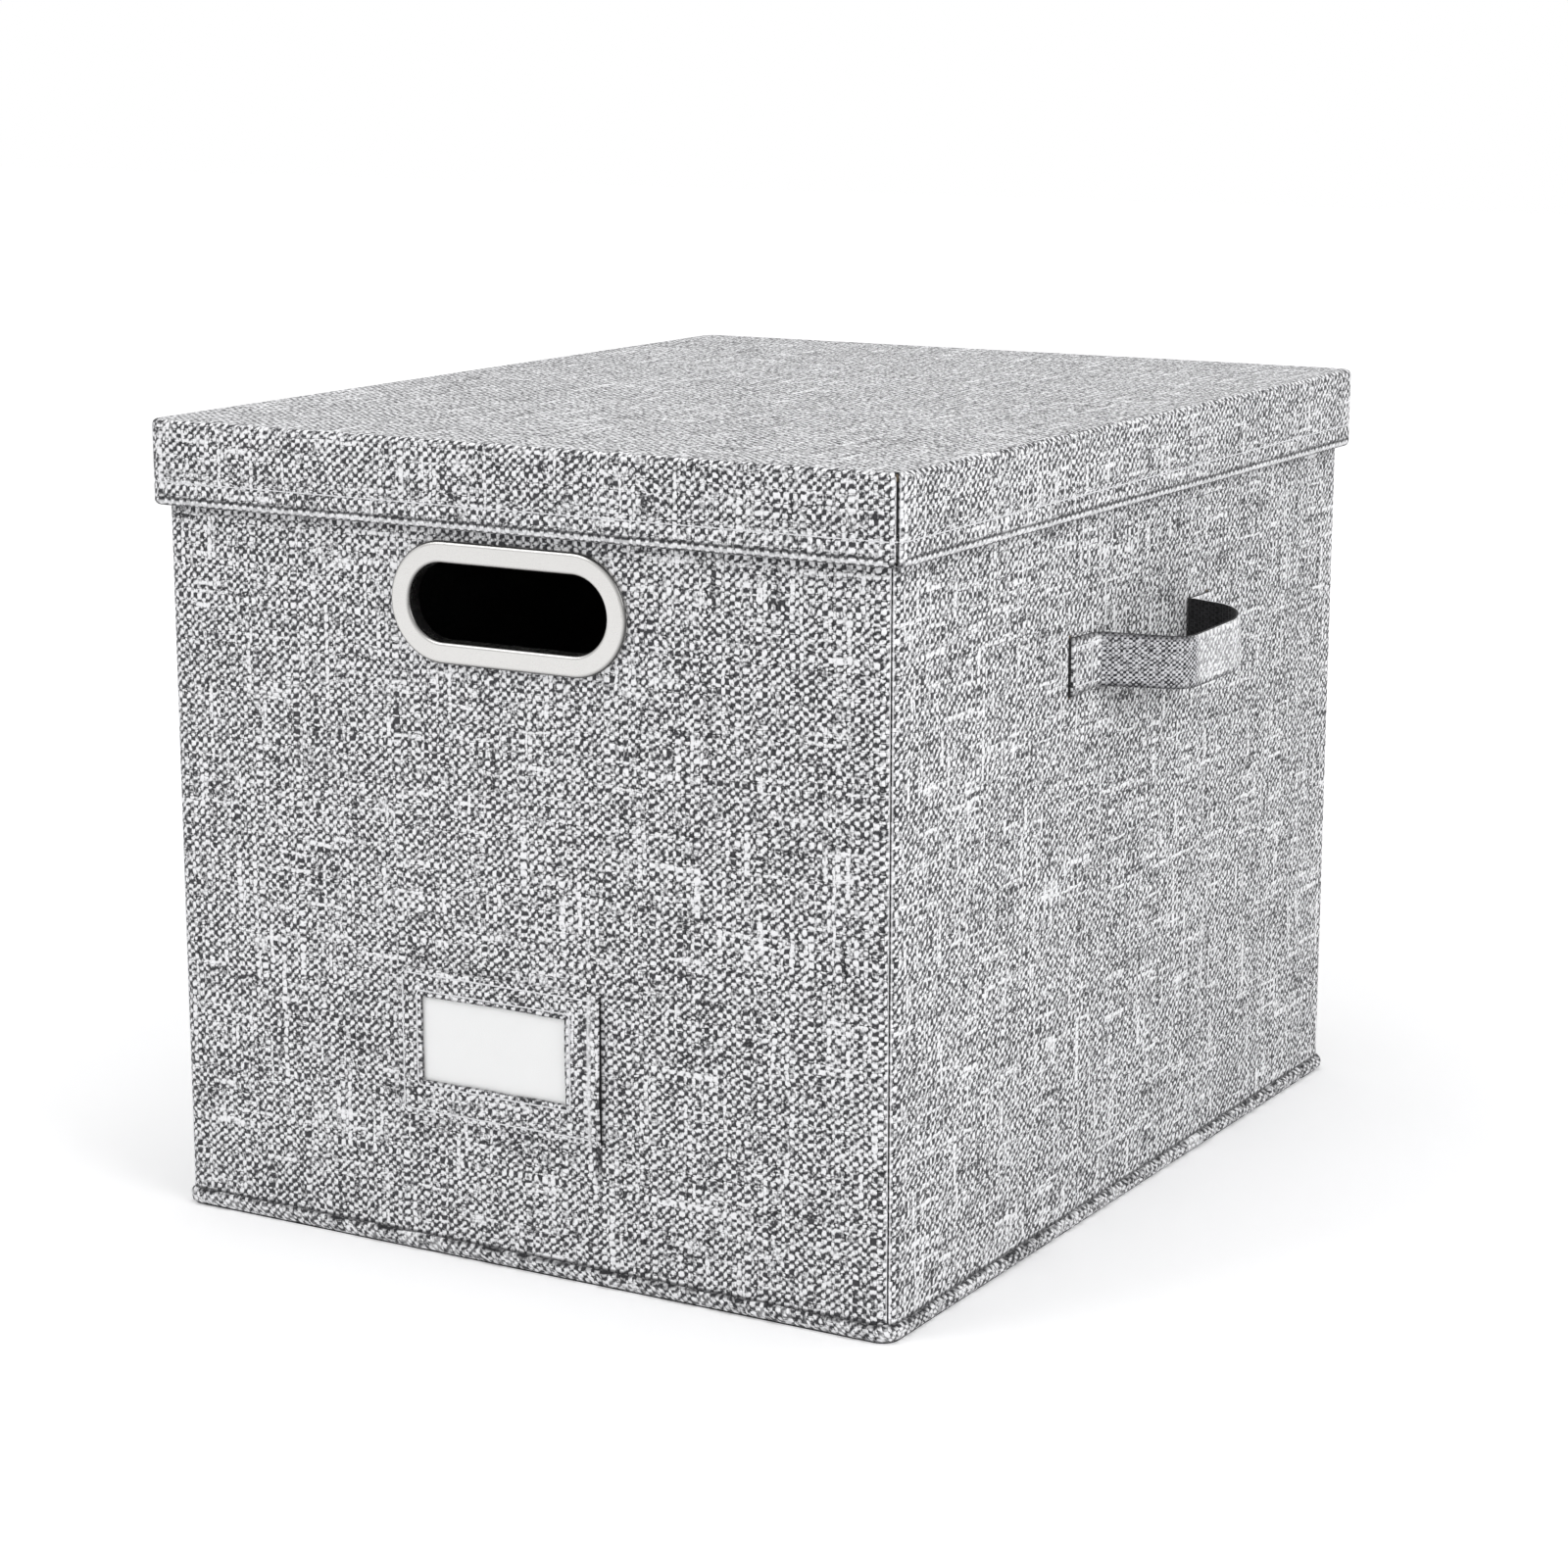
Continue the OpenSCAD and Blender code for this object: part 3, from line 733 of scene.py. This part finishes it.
# How far the roll stands out, as a share of welt_t, at each height above its lower edge.
swell = {0.0: 0.0, 0.0007: 0.55, 0.0016: 0.9, 0.0033: 1.0, 0.0050: 0.86, 0.0060: 0.5, welt_h: 0.0}
welt = flat_sheet("bottom_welt_roll", case_w, case_d, floor_gap, corner_r, 8)
pull(0, 0, welt_h)
for level in (floor_gap, floor_gap + welt_h):
    pick("faces", lambda p: near(p.z, level))
    bpy.ops.mesh.delete(type="ONLY_FACE")
cut_across("y", [k * pucker - case_d / 2 for k in range(1, int(case_d / pucker))])
cut_across("x", [k * pucker - case_w / 2 for k in range(1, int(case_w / pucker))])
cut_across("z", [floor_gap + z for z in list(swell)[1:-1]])


def move_points(piece, move):
    """Lets move() shift each point of the piece that is being shaped."""
    shape = bmesh.from_edit_mesh(piece.data)
    for v in shape.verts:
        move(v.co)
    bmesh.update_edit_mesh(piece.data)


def roll_and_pucker(p):
    """Moves a point out to the roll's surface, unevenly along the seam."""
    flat = Vector((p.x, p.y, 0))
    core = Vector((max(-run_x / 2, min(run_x / 2, p.x)), max(-run_y / 2, min(run_y / 2, p.y)), 0))
    share = swell[round(p.z - floor_gap, 5)]
    wave = noise.noise(flat * 75 + Vector((0, 0, 3)))
    ripple = noise.noise(flat * 230 + Vector((0, 0, p.z * 150)))
    out = share * (welt_t + 0.0005 * wave + 0.0014 * ripple) - 0.0002
    p += (flat - core).normalized() * out
    p.z += (p.z - floor_gap) / welt_h * (0.0010 * wave + 0.0005 * ripple)


move_points(welt, roll_and_pucker)
sheet_to_cloth(welt, 0.0005, ((0, -case_d / 2 - welt_t, 0.003), (0, -1, 0)))


def round_the_box(p):
    """Distance round the case from the middle of its front, for a strip that runs round it."""
    x, y = p.x, p.y
    if abs(x) / case_w > abs(y) / case_d:
        return case_d / 2 + (case_w / 2 + y if x > 0 else 5 * case_w / 2 + case_d - y), p.z
    return (x if y < 0 else case_w + case_d - x), p.z


def welt_tone_and_painted_shade(p):
    """Uneven in tone, with painted shade along the sewn upper edge."""
    fold, dark = (1.6, 0.35) if p.z > welt_edge_z else (0.7, 0.0)
    return fold * (noise.noise(Vector((p.x, p.y, 0)) * 230 + Vector((0, 0, 9))) - dark)


lay_map(welt, lambda p: (round_the_box(p)[0] + p.z * 0.5, p.z * 1.2 + 9.1))
mark_tone_and_painted_light(welt, welt_tone_and_painted_shade)
smooth(welt, 60)
welt.data.materials.append(linen)
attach(welt, "case")
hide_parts("bottom_welt")

# ---- lining and bottom cloth -----------------------------
# The inside is a sewn bag of grey non-woven cloth whose top edge is under the hem. The
# underside is a black felt.
lining_t = 0.0005
grey_felt = fibre_finish("grey_lining", (0.155, 0.155, 0.165), 900, 0.00012)
black_felt = fibre_finish("black_felt", (0.018, 0.018, 0.020), 900, 0.00015)


def box_bag(name, run_w, run_d, z0, z1, r):
    """A bag from its bottom up to its mouth, with round upright corners and a soft crease
    round the bottom. The cloth's thickness goes outwards from these sizes."""
    w, d = 2 * (run_w / 2 + r), 2 * (run_d / 2 + r)
    piece = flat_sheet(name, w, d, z0, r, 5)
    pull(0, 0, z1 - z0)
    pick("faces", lambda p: near(p.z, z1))
    bpy.ops.mesh.delete(type="ONLY_FACE")
    pick("edges", lambda p: near(p.z, z0))
    bpy.ops.mesh.bevel(offset=0.0008, segments=2, affect="EDGES")
    cut_across("z", [z0 + (z1 - z0) * k / 12 for k in range(1, 12)])
    sheet_to_cloth(piece, lining_t, ((0, -d / 2, (z0 + z1) / 2), (0, 1, 0)))
    lay_map(piece, lambda p: (p.x + p.y, p.z + p.y))
    smooth(piece, 60)
    return piece


bag = box_bag("lining_bag", run_x, run_y, 0.0013, case_h - hem_h, 0.0032)
punch_hand_hole(bag, -case_d / 2 + 0.004)
bag.data.materials.append(grey_felt)
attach(bag, "case")
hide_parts("lining")

under = flat_sheet("bottom_cloth", case_w, case_d, 0, corner_r, 8)
pull(0, 0, cloth_t)
bpy.ops.mesh.select_all(action="SELECT")
bpy.ops.mesh.normals_make_consistent(inside=False)
pick("faces", lambda p: near(p.z, 0))
bpy.ops.mesh.inset(thickness=0.004, depth=0.0)
bpy.ops.object.mode_set(mode="OBJECT")
lay_map(under, lambda p: (p.x, p.y))
under.data.materials.append(black_felt)
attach(under, "case")
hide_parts("bottom_cover")

# ---- lid lining ------------------------------------------
# The same grey cloth inside the lid, over its board, with its edge under the hem.
lid_bag = box_bag("lid_lining_bag", lid_run_x, lid_run_y, -0.3303, -(lid_bottom + lid_hem_h),
                  0.0042)
lid_bag.data.transform(Matrix.Rotation(pi, 4, "X"))
lid_bag.data.materials.append(grey_felt)
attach(lid_bag, "lid")
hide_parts("lid_lining")

# ---- boards ----------------------------------------------
# Greyboard of pressed recycled fibre. It is inside the cloth, and only the cut edges at
# the hand hole and the open edge of the sleeve show.
greyboard = fibre_finish("greyboard", (0.33, 0.26, 0.18), 700, 0.0001, 0.95)


def finish_node(node, finish):
    """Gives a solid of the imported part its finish."""
    nodes[node].data.materials.clear()
    nodes[node].data.materials.append(finish)


for side in ("front", "back", "left", "right", "lid_top", "lid_front", "lid_back", "lid_left",
             "lid_right", "base"):
    finish_node(f"{side}_board", greyboard)

# ---- base board sleeve -----------------------------------
# A flat sleeve of the lining cloth sewn round the loose base board, open at the back.
sleeve_w, sleeve_d, sleeve_z, sleeve_h = 0.3264, 0.4164, 0.0016, 0.0040
sleeve = begin(bpy.ops.mesh.primitive_cube_add, "base_board_sleeve_cloth", size=1)
stretch(sleeve_w, sleeve_d, sleeve_h)
slide(0, 0, sleeve_z + sleeve_h / 2)
pick("edges", lambda p: near(p.y, -sleeve_d / 2))
bpy.ops.mesh.bevel(offset=0.0012, segments=3, affect="EDGES")
pick("faces", lambda p: near(p.y, sleeve_d / 2))
bpy.ops.mesh.delete(type="FACE")
sheet_to_cloth(sleeve, lining_t, ((0, 0, sleeve_z + sleeve_h), (0, 0, 1)))
lay_map(sleeve, lambda p: (p.x, p.y))
smooth(sleeve, 50)
sleeve.data.materials.append(grey_felt)
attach(sleeve, "base_board")
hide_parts("base_board_sleeve")

# ---- hand hole ring --------------------------------------
# An oval ring pressed from sheet metal with a flat flange, round shoulders and a collar
# through the wall, in a bright satin nickel. A flat zinc plated ring backs it inside.
metal, given = new_group("metal", [
    ("Vector", "Vector", None), ("Grain", "Float", 2000.0), ("Level", "Float", 0.3),
    ("Tint", "Color", (1, 1, 1, 1)), ("Square On", "Float", 1.0),
], [("Color", "Color"), ("Roughness", "Float"), ("Height", "Float")])
stretched = wire(metal, "ShaderNodeMapping", {"Vector": given["Vector"], "Scale": (0.12, 1, 1)})
lines = wire(metal, "ShaderNodeTexNoise", {"Vector": stretched.outputs[0],
             "Scale": given["Grain"], "Detail": 3.0}).outputs[0]
marks = wire(metal, "ShaderNodeTexNoise", {"Vector": given["Vector"], "Scale": 60.0}).outputs[0]
mixed = math(metal, "MULTIPLY_ADD", marks, 0.6, math(metal, "MULTIPLY", lines, 0.4))
spread = ramp(metal, mixed, 0.3, 0.7, 0.8, 1.25)
tone_and_painted_light = ramp(metal, marks, 0.0, 1.0, 0.95)
# Painted shade on the ring's round shoulders: darkest where the sheet is halfway between facing
# forwards and sideways.
bend = math(metal, "SINE", math(metal, "MULTIPLY", given["Square On"], pi))
tone_and_painted_light = math(metal, "MULTIPLY", tone_and_painted_light, math(metal, "MULTIPLY_ADD", bend, -0.8, 1.0))
tone = wire(metal, "ShaderNodeVectorMath", {0: given["Tint"], "Scale": tone_and_painted_light}, operation="SCALE")
wire(metal, "NodeGroupOutput", {"Color": tone.outputs[0],
     "Roughness": math(metal, "MULTIPLY", spread, given["Level"]), "Height": lines})


def metal_finish(name, color, rough, grain):
    """Brushed or satin metal with faint handling marks and painted shade on its round bends, on
    Object coordinates.
    Square On is 1 where the sheet faces straight forwards or backwards."""
    finish, tree, shader = new_finish(name)
    place = tree.nodes.new("ShaderNodeTexCoord").outputs
    facing = wire(tree, "ShaderNodeSeparateXYZ", {0: place["Normal"]}).outputs[1]
    grained = wire(tree, "ShaderNodeGroup", {
        "Vector": place["Object"], "Grain": grain, "Level": rough, "Tint": color + (1,),
        "Square On": math(tree, "ABSOLUTE", facing)}, node_tree=metal).outputs
    join(tree, shader, {"Base Color": grained["Color"], "Roughness": grained["Roughness"],
                        "Metallic": 1.0,
                        "Normal": relief(tree, grained["Height"], 0.00001, 0.3)})
    return finish


finish_node("handle_ring", metal_finish("satin_nickel", (0.60, 0.592, 0.58), 0.26, 2400))
finish_node("handle_backing_ring", metal_finish("zinc_steel", (0.58, 0.59, 0.61), 0.4, 1500))

# ---- label pocket ----------------------------------------
# A patch of linen with its edges turned under and sewn on three sides, and a window with
# sewn edges. Its open right edge stands off the wall a little, where the card goes in.
patch_w, patch_h, patch_x, patch_z, patch_out = 0.097, 0.062, -0.008, 0.089, 0.0019
window_w, window_h, window_x, window_z = 0.069, 0.035, -0.002, 0.002
mouth_x, edge_gap, thread_bite = patch_w / 2 - 0.0050, 0.0001, 0.0062
crease_x, crease_y = (-0.0447, -0.0410, 0.0395), (-0.0272, -0.0235, 0.0235, 0.0272)
patch = begin(bpy.ops.mesh.primitive_plane_add, "label_pocket_cloth", size=1)
stretch(patch_w, patch_h, 1)
slide(0, 0, patch_out)
cut_across("x", (window_x - window_w / 2, window_x + window_w / 2, *crease_x,
                 mouth_x - 0.0003, mouth_x + 0.0003))
cut_across("y", (window_z - window_h / 2, window_z + window_h / 2, *crease_y))
for side in (1, -1):
    cut_across("x", [window_x + side * (window_w / 2 + 0.0007)])
    cut_across("y", [window_z + side * (window_h / 2 + 0.0007)])
pick("faces", lambda p: abs(p.x - window_x) < window_w / 2 + 1e-5
     and abs(p.y - window_z) < window_h / 2 + 1e-5)
bpy.ops.mesh.delete(type="FACE")
cut_across("x", [k * patch_w / 32 - patch_w / 2 for k in range(1, 32)])
cut_across("y", [k * patch_h / 20 - patch_h / 2 for k in range(1, 20)])
pick("edges", lambda p: (near(abs(p.x), patch_w / 2) and p.x < 0.04)
     or near(abs(p.y), patch_h / 2))
pull(0, 0, -patch_out + edge_gap)


def sewn_down(p):
    """Pressed flat beside the stitches, fuller between them, and open at the mouth."""
    x, y = p.x, p.y
    sewn = min(patch_w / 2 + x, patch_h / 2 - abs(y))
    lie = min(1.0, max(0.0, sewn / thread_bite))
    if p.z > 0.001:
        mouth = max(0.0, (x - 0.036) / (patch_w / 2 - 0.036)) ** 2
        bulge = max(0.0, 1 - (y / (patch_h / 2)) ** 2)
        p.z += 0.0004 * mouth * bulge - 0.0005 * (1 - lie)
        p.z += 0.00018 * noise.noise(Vector((x, y, 0)) * 160)
        if x > mouth_x and abs(y) < patch_h / 2 - 0.001:
            p.z += 0.0005
    p.x += 0.0004 * noise.noise(Vector((x, y, 5)) * 70)
    p.y += 0.0004 * noise.noise(Vector((x, y, 9)) * 70)


move_points(patch, sewn_down)
sheet_to_cloth(patch, cloth_t, ((0, 0.026, patch_out), (0, 0, 1)))
lay_map(patch, lambda p: (p.x + 12.003, p.y))


def pocket_painted_light(p):
    """A painted highlight on the mouth's edge, and painted shade round the window and along the
    sewn edges.
    """
    in_window = max(abs(p.x - window_x) - window_w / 2, abs(p.y - window_z) - window_h / 2)
    if abs(p.x - mouth_x) < 0.0008 and p.z > 0.001:
        return 0.7
    if p.z < 0.0008:
        return -0.6
    return -0.6 if in_window < 0.0004 else 0.0


mark_tone_and_painted_light(patch, pocket_painted_light)
on_front = (Matrix.Translation((patch_x, -case_d / 2, patch_z))
            @ Matrix.Rotation(pi / 2, 4, "X"))
patch.data.transform(on_front)
smooth(patch, 50)
patch.data.materials.append(linen)
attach(patch, "case")
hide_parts("label_pocket")


def on_patch(points, out):
    return [on_front @ Vector((x, y, out)) for x, y in points]


sew("pocket_stitches", on_patch([(0.046, 0.0285), (-0.0460, 0.0285), (-0.0460, -0.0285),
    (0.046, -0.0285)], patch_out - 0.0003), 0.0026, "case")
sew("window_stitches", on_patch([(x + window_x, y + window_z) for x, y in
    round_box(window_w + 0.0046, window_h + 0.0046, 0.002)], patch_out + 0.0001), 0.0022,
    "case", closed=True)

# ---- label card and film ---------------------------------
# A plain white card behind a clear soft film. Both are flat sheets, cut square.
finish_node("label_card", fibre_finish("white_card", (0.97, 0.97, 0.965), 1500, 0.00002, 0.6,
                                       0.02))
film, tree, shader = new_finish("clear_film")
place = tree.nodes.new("ShaderNodeTexCoord").outputs["Object"]
haze = wire(tree, "ShaderNodeTexNoise", {"Vector": place, "Scale": 45.0}).outputs[0]
join(tree, shader, {"Base Color": (0.95, 0.96, 0.97, 1), "Alpha": 0.10, "IOR": 1.38,
                    "Roughness": ramp(tree, haze, 0.0, 1.0, 0.03, 0.12)})
finish_node("label_window", film)

# ---- strap handles ---------------------------------------
# A strip of linen on a black webbing back bows out from each side wall. Each end lies flat
# on the wall, sewn down, and its tail goes through a slit in the cloth.
strap_w, strap_span, strap_end, strap_z = 0.022, 0.096, 0.020, 0.228
strap_lean, strap_bend_r, strap_crown_r, strap_return_r = radians(55), 0.008, 0.018, 0.004
bow_h, face_t, web_t = 0.0312, 0.0010, 0.0008
crown_x = bow_h - strap_crown_r
turn_r = strap_bend_r + strap_crown_r
pulled_forward = 0.003
front_shoulder_y = (turn_r * sin(strap_lean) - strap_span / 2
                    + (bow_h - turn_r * (1 - cos(strap_lean))) / tan(strap_lean) - pulled_forward)
back_shoulder_y = strap_span / 2 - strap_return_r - strap_crown_r - pulled_forward
# The front arm has a finer weave, in darker colours that are painted shade, and the crown gets a
# painted highlight.
slant_from, slant_to = -0.045, -0.016
pale_from, pale_to = -0.017, 0.031
strap_rows = (0.0006, 0.0022, 0.0040, 0.0110, 0.0180, 0.0198, 0.0214)
strap_linen = cloth_finish("strap_linen", Dark_Color=(0.09, 0.09, 0.10, 1))
# A finer weave for the front arm, in darker colours that are painted shade where the arm turns
# from the light.
slant_linen_painted_shade = cloth_finish("slant_linen_painted_shade", Pitch_Across=0.0012, Pitch_Up=0.0010, Fleck=1.8,
                           Slubs=0.1, Twist=0.1, Two_Tone=0.8, Wander=0.0008, Uneven=0.9,
                           Dark_Color=(0.02, 0.02, 0.025, 1), Pale_Color=(0.80, 0.80, 0.83, 1))
black_webbing = cloth_finish("black_webbing", Pitch_Across=0.0019, Pitch_Up=0.0011,
                             Wander=0.0001, Slubs=0.0, Gap_Color=(0.002, 0.002, 0.002, 1),
                             Dark_Color=(0.006, 0.006, 0.007, 1),
                             Pale_Color=(0.022, 0.022, 0.024, 1))


def strap_line(off):
    """Points along the right strap from slit to slit, at off from the line of its inner face."""
    def arc(x, y, r, start, end, steps):
        angles = [start + (end - start) * k / steps for k in range(steps + 1)]
        return [(case_w / 2 + x + r * cos(a), y + r * sin(a)) for a in angles]

    back = arc(crown_x, back_shoulder_y, strap_crown_r + off, 0, pi / 2, 12)
    return ([(case_w / 2 + off, -strap_span / 2 - strap_end + k * strap_end / 6)
             for k in range(6)]
            + arc(strap_bend_r, -strap_span / 2, strap_bend_r - off, pi, pi - strap_lean, 5)
            + arc(crown_x, front_shoulder_y, strap_crown_r + off, -strap_lean, 0, 8) + back
            + arc(strap_return_r, strap_span / 2, strap_return_r - off, 1.5 * pi, pi, 8)
            + [(case_w / 2 + off, strap_span / 2 + k * strap_end / 6) for k in range(1, 7)])


def bow(name, line):
    """A strip pulled along a line of points, as high as the strap."""
    (x0, y0), (x1, y1) = line[:2]
    piece = begin(bpy.ops.mesh.primitive_plane_add, name, size=1, rotation=(0, pi / 2, 0))
    stretch(1, y1 - y0, strap_w)
    slide(x1, (y0 + y1) / 2, strap_z + strap_w / 2)
    pick("verts", lambda p: near(p.y, y0))
    slide(x0 - x1, 0, 0)
    pick("edges", lambda p: near(p.y, y1))
    for (xa, ya), (xb, yb) in zip(line[1:], line[2:]):
        pull(xb - xa, yb - ya, 0)
    cut_across("z", [strap_z + z for z in strap_rows])
    return piece


def sway(p):
    """Middle height and relative width of the strap at a point: it is wider at its sewn ends,
    sags at its crown, and its far arm stands a little higher."""
    share = min(1.0, max(0.0, (-p.y - 0.036) / 0.03, (p.y - 0.014) / 0.03))
    sag = 0.0022 * max(0.0, (p.x - case_w / 2) / bow_h) ** 2
    lift = 0.0012 * max(0.0, 1 - ((p.y - 0.034) / 0.014) ** 2)
    return strap_z + strap_w / 2 - sag + lift, 0.985 + 0.11 * share


def flare(p):
    """Moves a point up or down to where the strap's sway puts it."""
    middle, width = sway(p)
    p.z = middle + (p.z - strap_z - strap_w / 2) * width


def thin_and_flare(p):
    """Brings the sewn edges down onto the webbing, and then shapes the strap."""
    edge = min(p.z - strap_z, strap_z + strap_w - p.z)
    p.x -= 0.0005 * max(0.0, 1 - edge / 0.0012)
    flare(p)


def strap_painted_light(p):
    """A painted highlight on the crown and its upper edge, and painted shade along the other
    edges.
    """
    middle, width = sway(p)
    if abs(p.z - middle) / width < strap_w / 2 - 0.0009:
        return 0.28 if pale_from < p.y < pale_to else 0.0
    return -0.7 if p.y < -0.018 or p.z < middle else 0.5


def strap_map(piece, line, shift):
    """Lays the map by the distance along the strap's line and the height."""
    path = [Vector(p) for p in line]
    lengths = measure(path)

    def unroll(p):
        best = (1.0, 0.0)
        for k, (a, b) in enumerate(zip(path, path[1:])):
            share = max(0.0, min(1.0, (p.xy - a).dot(b - a) / (b - a).length_squared))
            miss = (p.xy - a.lerp(b, share)).length
            best = min(best, (miss, lengths[k] + share * (b - a).length))
        return best[1] + shift, p.z
    lay_map(piece, unroll)


for hand, side in ((1, "right"), (-1, "left")):
    line = strap_line(web_t + face_t)
    cloth = bow(f"{side}_strap_cloth", line)
    move_points(cloth, thin_and_flare)
    sheet_to_cloth(cloth, face_t, ((case_w / 2 + 0.03, 0, 0.24), (1, 0, 0)))
    strap_map(cloth, line, 14.0)
    mark_tone_and_painted_light(cloth, strap_painted_light)
    line = strap_line(web_t)
    line = [(case_w / 2 - 0.0004, line[0][1] - 0.0012), *line,
            (case_w / 2 - 0.0004, line[-1][1] + 0.0012)]
    web = bow(f"{side}_strap_webbing_back", line)
    move_points(web, flare)
    sheet_to_cloth(web, web_t, ((case_w / 2 + 0.03, 0, 0.24), (1, 0, 0)))
    strap_map(web, line, 15.0)
    for piece, finishes, node in ((cloth, (slant_linen_painted_shade, strap_linen), f"{side}_strap"),
                                  (web, (black_webbing,), f"{side}_strap_webbing")):
        for finish in finishes:
            piece.data.materials.append(finish)
        smooth(piece, 50)
        if len(finishes) > 1:
            for face in piece.data.polygons:
                face.material_index = 0 if slant_from < face.center.y < slant_to else 1
        if hand < 0:
            piece.data.transform(Matrix.Scale(-1, 4, (1, 0, 0)))
            piece.data.flip_normals()
        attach(piece, "case")
        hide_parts(node)
    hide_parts(f"{side}_strap_ends")
    for end in (1, -1):
        out = case_w / 2 + web_t + face_t + 0.0002
        a, b = end * (strap_span / 2 + 0.003), end * (strap_span / 2 + strap_end - 0.003)
        low, high = strap_z + 0.003, strap_z + strap_w - 0.003
        box = [(out, a, low), (out, b, low), (out, b, high), (out, a, high)]
        far = "back" if end > 0 else "front"
        sew(f"{side}_strap_{far}_stitches", [(hand * x, y, z) for x, y, z in box],
            0.0025, "case", closed=True)

bpy.data.objects.remove(stitch)
